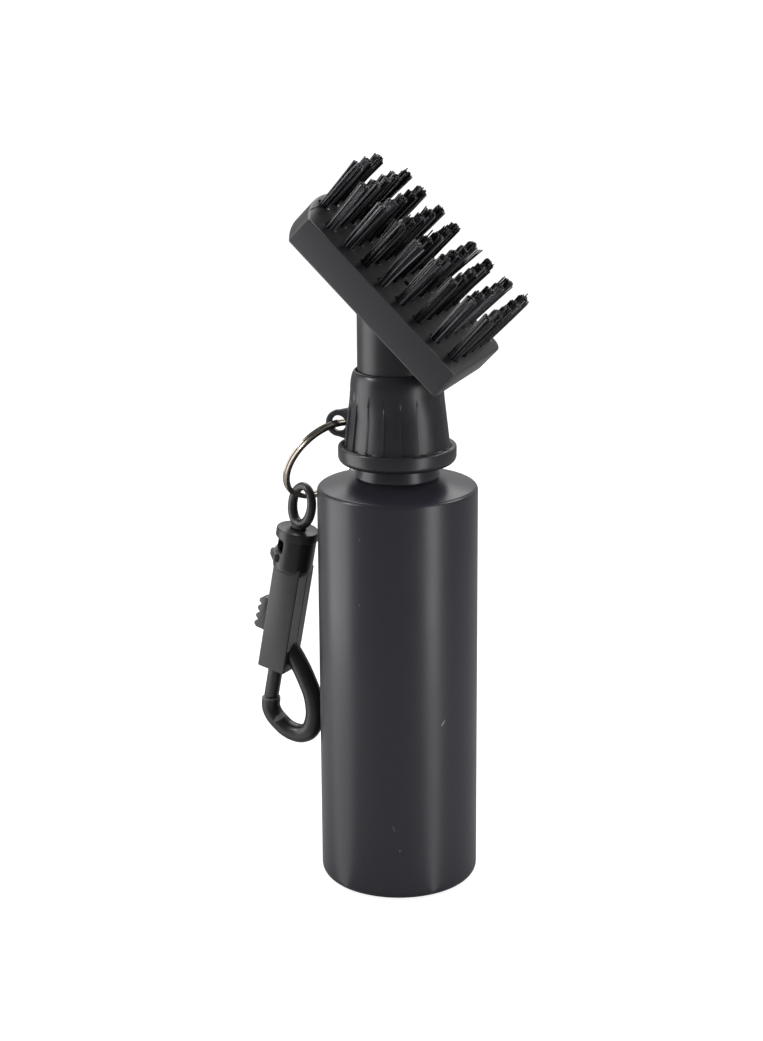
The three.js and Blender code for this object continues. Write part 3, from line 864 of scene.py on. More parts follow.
@dataclass
class CapCollar:
    """The screw cap: a rolled flange, slanting grip flutes, a rounded crown and an eyelet."""

    flange_radius: float = 14.9
    flange_height: float = 4.5
    flange_round: float = 1.8
    flange_edge: float = 0.6
    base_radius: float = 13.35
    waist_radius: float = 11.7
    bore: float = 10.2
    thread_bore: float = 11.2
    shoulder_lift: float = 11.1
    crown: float = 5.0
    flutes: int = 18
    flute_turn: float = 0.7
    flute_depth: float = 0.42
    flute_step: float = 0.025
    flute_top: float = 0.72
    flute_facets: int = 12
    eyelet_reach: float = 15.6
    eyelet_lift: float = 8.7
    eyelet_hole: float = 2.0
    eyelet_wall: float = 1.45
    eyelet_thickness: float = 1.6

    def build(self) -> Object:
        """Builds the cap in place of its solid."""
        low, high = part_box("cap_collar")
        bottom, top = low.z / MM, high.z / MM
        shell = self._shell(bottom, top)
        self._flute(shell, bottom, top)
        eyelet = self._eyelet(bottom + self.eyelet_lift)
        section = [(0.35, -0.7), (0.0, -0.7), (-0.9, -0.3), (-0.9, 0.3), (0.0, 0.7), (0.35, 0.7)]
        thread = helix(section, self.thread_bore, bottom + 1.8, 3.0, 1.25)
        moved(thread, Matrix.Rotation(math.pi, 4, "Z"))
        whole = merged(shell, eyelet, thread)
        return piece("cap_shell", whole, "cap", Finish.CAP, ("cap_collar",), 36)

    def _shell(self, bottom: float, top: float) -> BMesh:
        """Turns the cap's wall.

        Args:
            bottom: height of the cap's lower face.
            top: height of the cap's upper face.

        Returns:
            The turned wall.
        """
        seat = bottom + self.flange_height
        waist = top - self.crown
        rows = 14
        taper = self.waist_radius - self.base_radius
        shares = [i / rows for i in range(1, rows + 1)]
        side = [(self.base_radius + taper * share, seat + (waist - seat) * share) for share in shares]
        reach = self.waist_radius - self.bore - 0.2
        crown = [
            (self.bore + 0.2 + reach * math.cos(a), top - self.crown * (1 - math.sin(a)))
            for a in (math.pi / 2 * i / 12 for i in range(1, 13))
        ]
        flange, lower, upper = self.flange_radius, self.flange_round, self.flange_edge
        profile = [
            (self.thread_bore, bottom + 0.2),
            (self.thread_bore + 0.3, bottom),
            *arc((flange - lower, bottom + lower), lower, -90, -4, 7),
            *arc((flange - upper, seat - upper), upper, 0, 90, 4),
            (self.base_radius + 0.35, seat - 0.08),
            (self.base_radius + 0.06, seat - 0.3),
            (self.base_radius, seat),
            *side,
            *crown,
            (self.bore, top - 0.3),
            (self.bore, bottom + self.shoulder_lift),
            (self.thread_bore, bottom + self.shoulder_lift),
        ]
        return turned(profile, self.flutes * self.flute_facets)

    def _flute(self, shell: BMesh, bottom: float, top: float) -> None:
        """Sinks slanting flutes into the lower part of the cap's side.

        Args:
            shell: the cap's wall.
            bottom: height of the cap's lower face.
            top: height of the cap's upper face.
        """
        seat = bottom + self.flange_height
        end = seat + (top - seat) * self.flute_top
        for vert in shell.verts:
            radius = math.hypot(vert.co.x, vert.co.y)
            if not (seat - 0.05 <= vert.co.z < end and radius > self.waist_radius - 0.05):
                continue
            angle = math.atan2(vert.co.y, vert.co.x)
            turn = (angle / (2 * math.pi) * self.flutes - self.flute_turn + 0.001) % 1.0
            column = round(turn * self.flute_facets)
            fade = min(1.0, 2.6 * (end - vert.co.z) / (end - seat))
            if column in (0, self.flute_facets):
                depth = 0.0
            else:
                depth = self.flute_depth * fade * (1 - (column - 1) / (self.flute_facets - 1))
            if column == 1:
                angle += (self.flute_step - turn) * 2 * math.pi / self.flutes
            vert.co.x = (radius - depth) * math.cos(angle)
            vert.co.y = (radius - depth) * math.sin(angle)

    def _eyelet(self, height: float) -> BMesh:
        """Makes the eyelet, a flat eye that widens into the cap.

        Args:
            height: height of the hole's centre.

        Returns:
            The eyelet, reaching a little into the cap's wall.
        """
        bm = bmesh.new()
        outer_radius = self.eyelet_hole + self.eyelet_wall
        steps = 28
        inner, outer = [], []
        for i in range(steps):
            angle = 2 * math.pi * i / steps
            rim = Vector((math.cos(angle), 0, math.sin(angle))) * self.eyelet_hole
            inner.append(bm.verts.new(rim))
            x = outer_radius * math.cos(angle)
            z = outer_radius * math.sin(angle)
            if x > 0.6:
                x = self.eyelet_reach - self.bore - 1.0
                z = max(-4.6, min(4.6, outer_radius * 1.6 * math.sin(angle)))
            outer.append(bm.verts.new((x, 0, z)))
        for ring in (inner, outer):
            for first, second in zip(ring, ring[1:] + ring[:1]):
                bm.edges.new((first, second))
        bmesh.ops.bridge_loops(bm, edges=bm.edges)
        drawn_out(bm, list(bm.faces), (0, self.eyelet_thickness, 0))
        bmesh.ops.recalc_face_normals(bm, faces=bm.faces)
        rims = [edge for edge in bm.edges if len(edge.link_faces) == 2 and edge.calc_face_angle() > 1.2]
        bevelled(bm, rims, 0.35)
        return moved(bm, Matrix.Translation((-self.eyelet_reach, -self.eyelet_thickness / 2, height)))


# ------------------------------------------------------------------ brush head


@dataclass
class BrushHead:
    """The stem, the tilted block and its rows of nylon tufts, in millimetres."""

    tilt: float = math.radians(44)
    centre_x: float = -2.4
    centre_lift: float = 15.6
    length: float = 51.4
    width: float = 37.0
    thickness: float = 7.9
    crown: float = 5.0
    corner: float = 3.0
    near_corner: float = 1.0
    edge: float = 0.55
    stem_radius: float = 9.9
    stem_rings: tuple[float, ...] = (135.0, 140.0, 175.0)
    tube_radius: float = 3.9
    tube_bore: float = 2.2
    outlet_radius: float = 1.2
    seal_groove_lift: float = 3.0
    seal_groove_half: float = 0.85
    seal_groove_depth: float = 1.1
    tube_length: float = 17.9
    rows: int = 9
    row_pitch: float = 6.15
    row_inset: float = 4.3
    row_shift: float = 1.6
    tufts: int = 5
    tuft_pitch: float = 6.6
    tuft_fan: float = math.radians(4.5)
    tuft_root: float = 1.15
    tuft_tip: float = 1.55
    tuft_length: float = 14.4
    tuft_sunk: float = 2.0
    recess_depth: float = 2.6
    recess_lip: float = 0.35
    strands: int = 38
    strand_radius: float = 0.185
    frayed_rows: tuple[int, ...] = (4, 5, 6)
    first_lean: float = math.radians(-1.5)
    last_lean: float = math.radians(-0.5)

    @property
    def tube_bottom(self) -> float:
        """Height of the press tube's lower end."""
        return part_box("stem_tube")[0].z / MM

    @property
    def stem_bottom(self) -> float:
        """Height of the stem's shoulder, where the press tube begins."""
        return self.tube_bottom + self.tube_length

    def place(self) -> Matrix:
        """Gives the block's own frame: x down the slope, z out through the bristles."""
        centre_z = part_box("cap_collar")[1].z / MM + self.centre_lift
        shift = Matrix.Translation((self.centre_x, 0.0, centre_z))
        return shift @ Matrix.Rotation(self.tilt, 4, "Y")

    def build(self) -> None:
        """Builds the stem, the block and the rows."""
        self._stem()
        self._block()
        for row in range(1, self.rows + 1):
            self._row(row)

    def row_x(self, row: int) -> float:
        """Gives a row's place along the block."""
        return self.length / 2 - self.row_inset - self.row_pitch * (self.rows - row)

    def tufts_in(self, row: int) -> int:
        """Gives how many tufts a row has: the crowned end has room for fewer."""
        return 3 if row == 1 else self.tufts

    def across(self, row: int) -> list[float]:
        """Gives the places of a row's tufts across the block."""
        tufts = self.tufts_in(row)
        return [self.row_shift + (i - (tufts - 1) / 2) * self.tuft_pitch for i in range(tufts)]

    def _stem(self) -> Object:
        """Builds the stem with its O-ring groove, turned tall and cut off along the block's lower face."""
        groove, half = self.stem_bottom + self.seal_groove_lift, self.seal_groove_half
        inner = self.stem_radius - self.seal_groove_depth
        profile = [
            (self.tube_bore, self.tube_bottom),
            (self.tube_radius - 0.3, self.tube_bottom),
            (self.tube_radius, self.tube_bottom + 0.3),
            (self.tube_radius, self.stem_bottom),
            (self.stem_radius - 0.4, self.stem_bottom),
            (self.stem_radius, self.stem_bottom + 0.4),
            (self.stem_radius, groove - half),
            (inner, groove - half),
            (inner, groove + half),
            (self.stem_radius, groove + half),
            *((self.stem_radius, height) for height in self.stem_rings),
            (self.tube_bore, self.stem_rings[-1]),
        ]
        bm = turned(profile, 96)
        place = self.place()
        normal = place.to_3x3() @ UP
        point = place @ Vector((0.0, 0.0, 0.6))
        cut = bmesh.ops.bisect_plane(
            bm, geom=[*bm.verts, *bm.edges, *bm.faces], plane_co=point, plane_no=normal, clear_outer=True
        )
        rim = [item for item in cut["geom_cut"] if isinstance(item, BMEdge)]
        bmesh.ops.holes_fill(bm, edges=rim, sides=0)
        fillet = self._fillet(place)
        return piece("stem", merged(bm, fillet), "head", Finish.STEM, ("stem_tube",), 38)

    def _fillet(self, place: Matrix) -> BMesh:
        """Makes the soft bead where the stem meets the block.

        Args:
            place: the block's frame.

        Returns:
            The bead, round the stem in the plane of the block's lower face.
        """
        points = []
        steps = 40
        slope = math.tan(self.tilt)
        start = place @ Vector((0.0, 0.0, 0.0))
        for i in range(steps):
            angle = 2 * math.pi * i / steps
            x = self.stem_radius * math.cos(angle)
            y = self.stem_radius * math.sin(angle)
            points.append(Vector((x, y, start.z - (x - start.x) * slope)))
        return tube(points, 0.45, cyclic=True, resolution=4)

    def _outline(self, bm: BMesh) -> BMFace:
        """Draws the block's outline: straight sides, a square end and a crowned end.

        Args:
            bm: the mesh that gets the outline.

        Returns:
            The outline's face.
        """
        half_length, half_width = self.length / 2, self.width / 2
        bulge = self.crown
        radius = (half_width**2 + bulge**2) / (2 * bulge)
        reach = math.degrees(math.asin(half_width / radius))
        crown = arc((-half_length - bulge + radius, 0.0), radius, 180 - reach, 180 + reach, 16)
        corner = self.corner
        near_corner = self.near_corner
        far = arc((half_length - corner, half_width - corner), corner, 0, 90, 6)
        near = arc((half_length - near_corner, near_corner - half_width), near_corner, -90, 0, 4)
        return bm.faces.new([bm.verts.new((x, y, 0.0)) for x, y in [*crown, *near, *far]])

    def _block(self) -> Object:
        """Builds the block with its rounded edges and a recess under each tuft."""
        bm = bmesh.new()
        drawn_out(bm, [self._outline(bm)], (0, 0, self.thickness))
        bmesh.ops.recalc_face_normals(bm, faces=bm.faces)
        rims = [edge for edge in bm.edges if abs(edge.verts[0].co.z - edge.verts[1].co.z) < 1e-6]
        bevelled(bm, rims, self.edge)
        rows = range(1, self.rows + 1)
        recesses = merged(*(self._recesses(row) for row in rows))
        seams = merged(*(self._seam(row) for row in rows))
        whole = carved("block", bm, recesses, seams, self._outlet())
        return piece(
            "block", moved(whole, self.place()), "head", Finish.BLOCK, ("brush_block",), 30
        )

    def _recesses(self, row: int) -> BMesh:
        """Makes the cutters for the round recesses of one row.

        Args:
            row: the row's number, from 1.

        Returns:
            The cutters in the block's frame.
        """
        parts = []
        for y in self.across(row):
            hole = turned(
                [
                    (0.0, self.thickness - self.recess_depth),
                    (self.tuft_root + 0.25, self.thickness - self.recess_depth),
                    (self.tuft_root + 0.25, self.thickness - self.recess_lip),
                    (self.tuft_root + 0.65, self.thickness + 0.05),
                    (self.tuft_root + 0.65, self.thickness + 1.0),
                    (0.0, self.thickness + 1.0),
                ],
                20,
                closed=False,
            )
            parts.append(moved(hole, Matrix.Translation((self.row_x(row), y, 0.0))))
        return merged(*parts)

    def _seam(self, row: int) -> BMesh:
        """Makes the cutter for the fine line from a row's near recess to the block's near edge.

        Args:
            row: the row's number, from 1.

        Returns:
            The cutter in the block's frame.
        """
        low = Vector((self.row_x(row) - 0.2, -self.width / 2 + 0.7, self.thickness - 0.14))
        high = Vector((self.row_x(row) + 0.2, self.across(row)[0], self.thickness + 0.6))
        return rounded_box(low, high, 0.05, 1)

    def _outlet(self) -> BMesh:
        """Makes the cutter for the water outlet between the middle rows."""
        middle = self.row_x((self.rows + 1) // 2) + self.row_pitch / 2
        hole = cylinder(self.outlet_radius, self.thickness - 4.0, self.thickness + 1.0, sides=24)
        return moved(hole, Matrix.Translation((middle, 0, 0)))

    def _row(self, row: int) -> Object:
        """Builds one row of tufts.

        Args:
            row: the row's number, from 1.

        Returns:
            The row.
        """
        chance = random.Random(100 + row)
        lean = self.first_lean + (self.last_lean - self.first_lean) * (row - 1) / (self.rows - 1)
        template = self._strand()
        bm = bmesh.new()
        # the strand layer holds how much painted highlight each strand gets
        tint = bm.verts.layers.float.new("strand")
        stray = 0.09 if row in self.frayed_rows else 0.03
        for y in self.across(row):
            side = (y - self.row_shift) / (self.tuft_pitch * (self.tufts - 1) / 2)
            root = Vector((self.row_x(row), y, self.thickness - self.tuft_sunk))
            self._tuft(bm, template, tint, root, (lean, side * self.tuft_fan), stray, chance)
        bpy.data.meshes.remove(template)
        moved(bm, self.place())
        name = f"bristles_{row}"
        return piece(name, bm, "head", Finish.BRISTLE, (f"bristle_row_{row}",), 50)

    def _strand(self) -> Mesh:
        """Makes one upright strand of unit length and radius, with a closed tip."""
        bm = bmesh.new()
        ring = bmesh.ops.create_circle(bm, cap_ends=True, segments=6, radius=1.0)["verts"]
        face = bm.faces[:] if bm.faces else [bm.faces.new(ring)]
        for step in (0.35, 0.35, 0.3):
            face = drawn_out(bm, face, (0, 0, step))
        bmesh.ops.recalc_face_normals(bm, faces=bm.faces)
        mesh = bpy.data.meshes.new("strand")
        bm.to_mesh(mesh)
        bm.free()
        return mesh

    def _tuft(
        self,
        bm: BMesh,
        template: Mesh,
        tint: BMLayerItem,
        root: Vector,
        lean: tuple[float, float],
        stray: float,
        chance: random.Random,
    ) -> None:
        """Adds one tuft of strands that spread from its hole to a ragged, slightly domed tip.

        Args:
            bm: the row's mesh.
            template: one strand of unit size.
            tint: the layer that holds each strand's share of painted highlight.
            root: the tuft's root in the block's frame.
            lean: the tuft's lean along and across the block.
            stray: the share of strands that stick out.
            chance: the row's source of chance.
        """
        golden = math.radians(137.508)
        along_lean = math.tan(lean[0] + chance.uniform(-0.015, 0.015))
        across_lean = math.tan(lean[1] + chance.uniform(-0.025, 0.025))
        reach = self.tuft_length + self.tuft_sunk
        for k in range(self.strands):
            share = math.sqrt((k + 0.5) / self.strands)
            angle = k * golden + chance.uniform(-0.3, 0.3)
            start = Vector((math.cos(angle), math.sin(angle), 0.0)) * (self.tuft_root * share)
            wide = self.tuft_tip * share * chance.uniform(0.85, 1.15)
            long = reach * chance.uniform(0.965, 1.0) - 0.5 * share * share
            if chance.random() < stray:
                wide *= chance.uniform(1.2, 1.9)
                long += chance.uniform(-0.6, 1.1)
            spread = Vector((math.cos(angle), math.sin(angle), 0.0)) * wide
            tip = spread + Vector((along_lean, across_lean, 1.0)) * long
            bow = Vector((chance.uniform(-0.14, 0.14), chance.uniform(-0.14, 0.14), 0.0))
            thick = self.strand_radius * chance.uniform(0.85, 1.15)
            # most strands stay dark; a few get the pale colour as a painted highlight streak
            painted_highlight = chance.random() ** 5
            first = len(bm.verts)
            bm.from_mesh(template)
            bm.verts.ensure_lookup_table()
            for vert in bm.verts[first:]:
                along = vert.co.z
                across = Vector((vert.co.x, vert.co.y, 0.0)) * thick
                vert.co = root + start.lerp(tip, along) + bow * (4 * along * (1 - along)) + across
                vert[tint] = painted_highlight


# ------------------------------------------------------------------ lanyard


@dataclass
class Lanyard:
    """The nickel split ring, two turns of flat wire that hang from the eyelet."""

    radius: float = 12.0
    wire_width: float = 1.3
    wire_height: float = 0.8
    turn_gap: float = 0.06
    heading: float = math.radians(150.2)
    lay: float = math.radians(61.803)
    crossing: float = math.radians(-70)
    crossing_half: float = math.radians(22)

    def place(self) -> Matrix:
        """Gives the ring's own frame, with its origin at the eyelet's hole."""
        pivot = next(joint for joint in frame["joints"] if joint["name"] == "ring_swing")["pos_m"]
        turn = Matrix.Rotation(self.heading + math.pi / 2, 4, "Z") @ Matrix.Rotation(self.lay, 4, "X")
        return Matrix.Translation(Vector(pivot) / MM) @ turn

    def build(self) -> Object:
        """Builds the split ring in place of its solid."""
        x, z, cut = self.wire_width / 2, self.wire_height / 2, 0.16
        section = [
            (-x + cut, -z), (x - cut, -z), (x, -z + cut), (x, z - cut),
            (x - cut, z), (-x + cut, z), (-x, z - cut), (-x, -z + cut),
        ]
        pitch = self.wire_height + self.turn_gap
        turns = 2 - self.crossing_half / math.pi
        bm = helix(section, self.radius, 0.0, pitch, turns, 96)
        for vert in bm.verts:
            around = math.atan2(vert.co.y, vert.co.x) / (2 * math.pi) % 1.0
            lap = round((vert.co.z - pitch * around) / pitch)
            wound = around + lap
            offset = vert.co.z - pitch * wound
            angle = 2 * math.pi * wound + self.crossing_half
            share = (angle - 2 * math.pi + self.crossing_half) / (2 * self.crossing_half)
            share = max(0.0, min(1.0, share))
            step = share * share * (3 - 2 * share)
            vert.co.z = offset + (step - 0.5) * pitch
        moved(bm, Matrix.Rotation(self.crossing + self.crossing_half, 4, "Z"))
        moved(bm, self.place() @ Matrix.Translation((0.0, -self.radius, 0.0)))
        return piece("split_ring_wire", bm, "ring", Finish.NICKEL, ("split_ring",), 30)


# ------------------------------------------------------------------ clip


@dataclass
class SnapClip:
    """The moulded snap clip: a turning eye, a socket and housing with its hook, and a sprung bolt."""

    turn: float = math.radians(-30)
    eye_turn: float = math.radians(-45)
    heading: float = math.radians(20.5)
    lean: float = math.radians(9.7)
    lean_back: float = math.radians(5)
    eye_wire: float = 2.1
    eye_width: float = 9.0
    eye_height: float = 12.4
    eye_top: float = 3.5
    limb_swell: float = 0.3
    neck_radius: float = 1.6
    socket_radius: float = 5.6
    socket_height: float = 10.4
    socket_lid: float = 2.4
    bore_roof: float = 3.0
    window_turn: float = math.radians(42)
    housing_width: float = 8.1
    housing_depth: float = 7.5
    housing_length: float = 29.2
    housing_shift: float = 0.4
    bolt_radius: float = 1.95
    bolt_reach: float = 9.1
    bolt_length: float = 22.4
    bolt_stroke: float = 7.5
    hook_radius: float = 2.5
    hook_reach: float = 13.8
    hook_drop: float = 7.2
    hook_arm_lift: float = 16.4
    tab_length: float = 9.1
    tab_reach: float = 3.3
    tab_slant: float = 0.7
    tab_teeth: int = 4
    tab_width: float = 3.4

    @property
    def socket_top(self) -> float:
        """Height of the socket's upper face."""
        return self.eye_top - self.eye_height - 0.3

    @property
    def socket_bottom(self) -> float:
        """Height where the socket meets the housing."""
        return self.socket_top - self.socket_height

    @property
    def housing_bottom(self) -> float:
        """Height of the housing's lower face."""
        return self.socket_bottom - self.housing_length

    @property
    def bolt_tip(self) -> float:
        """Height of the bolt's end."""
        return self.housing_bottom - self.bolt_reach

    @property
    def tab_top(self) -> float:
        """Height of the thumb tab's upper end."""
        return self.socket_bottom - self.bore_roof - self.bolt_stroke - 0.3

    def place(self) -> Matrix:
        """Gives the clip's own frame: z up its swivel axis, origin at the ring's wire."""
        pivot = next(joint for joint in frame["joints"] if joint["name"] == "clip_swivel")["pos_m"]
        turn = (
            Matrix.Rotation(self.heading, 4, "Z")
            @ Matrix.Rotation(self.lean_back, 4, "X")
            @ Matrix.Rotation(self.lean, 4, "Y")
        )
        return Matrix.Translation(Vector(pivot) / MM) @ turn

    def build(self) -> None:
        """Builds the eye, the hook's body and the bolt."""
        snap = self.place() @ Matrix.Rotation(self.turn, 4, "Z")
        self._eye(self.place() @ Matrix.Rotation(self.eye_turn, 4, "Z"))
        self._hook_body(snap)
        self._bolt(snap)

    def _eye(self, place: Matrix) -> Object:
        """Builds the turning eye with its neck and retaining disc.

        Args:
            place: the eye's frame.

        Returns:
            The eye.
        """
        half_width = (self.eye_width - self.eye_wire) / 2
        half_height = (self.eye_height - self.eye_wire) / 2
        middle = self.eye_top - self.eye_height / 2
        steps = 20
        angles = [2 * math.pi * i / steps for i in range(steps)]
        loop = tube(
            [Vector((half_width * math.cos(a), 0.0, middle + half_height * math.sin(a))) for a in angles],
            self.eye_wire / 2,
            cyclic=True,
            swell=[1 + self.limb_swell * (0.5 - 0.5 * math.sin(a)) ** 0.5 for a in angles],
        )
        plate = self.socket_top - self.socket_lid
        neck = turned(
            [
                (0.0, plate - 1.0),
                (self.neck_radius, plate - 1.0),
                (self.neck_radius, self.socket_top - 0.2),
                (self.neck_radius + 0.5, self.socket_top + 0.7),
                (0.6, self.socket_top + 1.7),
                (0.0, self.socket_top + 1.8),
            ],
            32,
            closed=False,
        )
        disc = cylinder(3.6, plate - 1.9, plate - 0.3, 0.3)
        bm = moved(merged(loop, neck, disc), place)
        return piece("eye", bm, "eye", Finish.CLIP, ("swivel_eye",), 40)

    def _hook_line(self) -> list[Vector]:
        """Gives the hook's middle line, down the arm, round the bottom and up to the bolt."""
        tip = self.bolt_tip - 0.15
        bottom = tip - self.hook_drop
        reach, lift, drop = self.hook_reach, self.hook_arm_lift, self.hook_drop
        return [
            Vector((self.housing_shift + self.housing_width / 4, 0, tip + lift)),
            Vector((reach * 0.4, 0, tip + lift * 0.83)),
            Vector((reach * 0.7, 0, tip + lift * 0.54)),
            Vector((reach * 0.93, 0, tip + lift * 0.22)),
            Vector((reach, 0, bottom + drop * 0.62)),
            Vector((reach * 0.9, 0, bottom + drop * 0.2)),
            Vector((reach * 0.62, 0, bottom)),
            Vector((reach * 0.28, 0, bottom + drop * 0.18)),
            Vector((reach * 0.05, 0, bottom + drop * 0.55)),
            Vector((0, 0, tip)),
        ]

    def _hook_body(self, place: Matrix) -> None:
        """Builds the socket, the housing and the hook, and the pale strips down the housing's side.

        Args:
            place: the clip's frame after its turn on the eye.
        """
        top, bottom = self.socket_top, self.socket_bottom
        plate = top - self.socket_lid
        radius = self.socket_radius
        socket = turned(
            [
                (self.neck_radius + 0.35, top - 0.3),
                (self.neck_radius + 0.65, top),
                *arc((radius - 0.5, top - 0.5), 0.5, 90, 0, 3),
                (radius, plate + 0.2),
                (radius - 0.35, plate - 0.1),
                (radius - 0.35, bottom + 0.8),
                (radius - 0.5, bottom - 0.4),
                (radius - 1.6, bottom - 1.4),
                (0.0, bottom - 1.4),
                (0.0, plate - 4.6),
                (3.95, plate - 4.6),
                (3.95, plate),
                (self.neck_radius + 0.35, plate),
            ],
            64,
            closed=True,
        )
        facing = Matrix.Rotation(self.window_turn, 4, "Z")
        window = rounded_box(
            Vector((-radius - 2.0, -3.4, plate - 3.9)), Vector((-0.5, 3.4, plate - 0.25)), 0.5
        )
        socket = carved("socket", socket, moved(window, facing))
        lip = rounded_box(
            Vector((-radius - 0.35, -2.8, plate - 6.6)), Vector((-radius + 1.6, 2.8, plate - 4.3)), 0.7
        )
        moved(lip, facing)
        left = self.housing_shift - self.housing_width / 2
        low = Vector((left, -self.housing_depth / 2, self.housing_bottom))
        high = Vector((self.housing_shift + self.housing_width / 2, self.housing_depth / 2, bottom + 0.6))
        housing = rounded_box(low, high, 0.45)
        bore = cylinder(self.bolt_radius + 0.3, self.housing_bottom - 1, bottom - self.bore_roof, sides=32)
        slot = rounded_box(
            Vector((low.x - 1.0, -1.3, self.tab_top - self.tab_length - 0.3)),
            Vector((0.0, 1.3, bottom - self.bore_roof)),
            0.3,
        )
        groove = rounded_box(
            Vector((high.x - 0.35, 0.5, low.z + 9.5)), Vector((high.x + 1.0, 0.8, bottom - 1.5)), 0.12, 1
        )
        housing = carved("housing", housing, bore, slot, groove)
        hook = tube(self._hook_line(), self.hook_radius, resolution=12)
        bm = moved(merged(socket, lip, housing, hook), place)
        piece("clip_body", bm, "clip", Finish.CLIP, ("hook_body",), 35)
        # the housing's side face and strip take the pale grey of the side finish
        sunk, upper = high.x - 0.1, bottom - 1.2
        near = Vector((sunk, low.y + 0.35, low.z + 6.5))
        far = Vector((sunk, 0.85, low.z + 6.9))
        face = rounded_box(near, Vector((high.x + 0.12, 0.45, upper)), 0.1, 1)
        strip = rounded_box(far, Vector((high.x + 0.05, high.y - 0.3, upper)), 0.06, 1)
        sides = moved(merged(face, strip), place)
        piece("clip_side", sides, "clip", Finish.CLIP_FACE, (), 32)

    def _bolt(self, place: Matrix) -> Object:
        """Builds the bolt with its toothed thumb tab.

        Args:
            place: the clip's frame after its turn on the eye.

        Returns:
            The bolt.
        """
        shank = cylinder(self.bolt_radius, self.bolt_tip, self.bolt_tip + self.bolt_length, 0.25)
        left = self.housing_shift - self.housing_width / 2
        tab_low = self.tab_top - self.tab_length
        pitch = self.tab_length / self.tab_teeth
        root, top = left + 0.02, self.tab_top
        outline = [(root, tab_low), (root, top), (left - self.tab_reach * 0.55, top)]
        for i in range(self.tab_teeth):
            tooth_top = top - i * pitch
            reach = self.tab_reach + self.tab_slant * i / self.tab_teeth
            outline += [
                (left - reach, tooth_top - pitch * 0.35),
                (left - reach, tooth_top - pitch * 0.68),
                (left - reach + 0.8, tooth_top - pitch * 0.95),
            ]
        bm = bmesh.new()
        face = bm.faces.new([bm.verts.new((x, -self.tab_width / 2, z)) for x, z in outline])
        drawn_out(bm, [face], (0, self.tab_width, 0))
        bmesh.ops.recalc_face_normals(bm, faces=bm.faces)
        bevelled(bm, list(bm.edges), 0.14, 2)
        moved(bm, Matrix.Translation((-0.3, 0, 0)))
        foot, end = tab_low + 0.2, self.bolt_tip + self.bolt_length
        web = rounded_box(Vector((left - 1.0, -1.0, foot)), Vector((-1.9, 1.0, top - 0.2)), 0.15, 1)
        stalk = rounded_box(Vector((left, -1.0, foot)), Vector((0.0, 1.0, end)), 0.15, 1)
        whole = moved(merged(shank, bm, web, stalk), place)
        return piece("bolt", whole, "bolt", Finish.CLIP, ("bolt_slider",), 32)


# ------------------------------------------------------------------ inner valve


@dataclass
class Valve:
    """The hidden valve pieces keep their solids and take their finishes."""

    def build(self) -> None:
        """Dresses the solids that stay."""
        finishes = {
            "neck_gasket": Finish.GASKET,
            "valve_insert": Finish.VALVE,
            "return_spring": Finish.SPRING,
            "stem_o_ring": Finish.SEAL,
            "valve_seal": Finish.SEAL,
            "valve_poppet": Finish.VALVE,
            "bolt_spring": Finish.SPRING,
        }
        for name, finish in finishes.items():
            node = frame["nodes"][name]
            node.data.materials.clear()
            node.data.materials.append(material(finish))
            log.info("%s keeps its solid", name)


# ------------------------------------------------------------------ studio


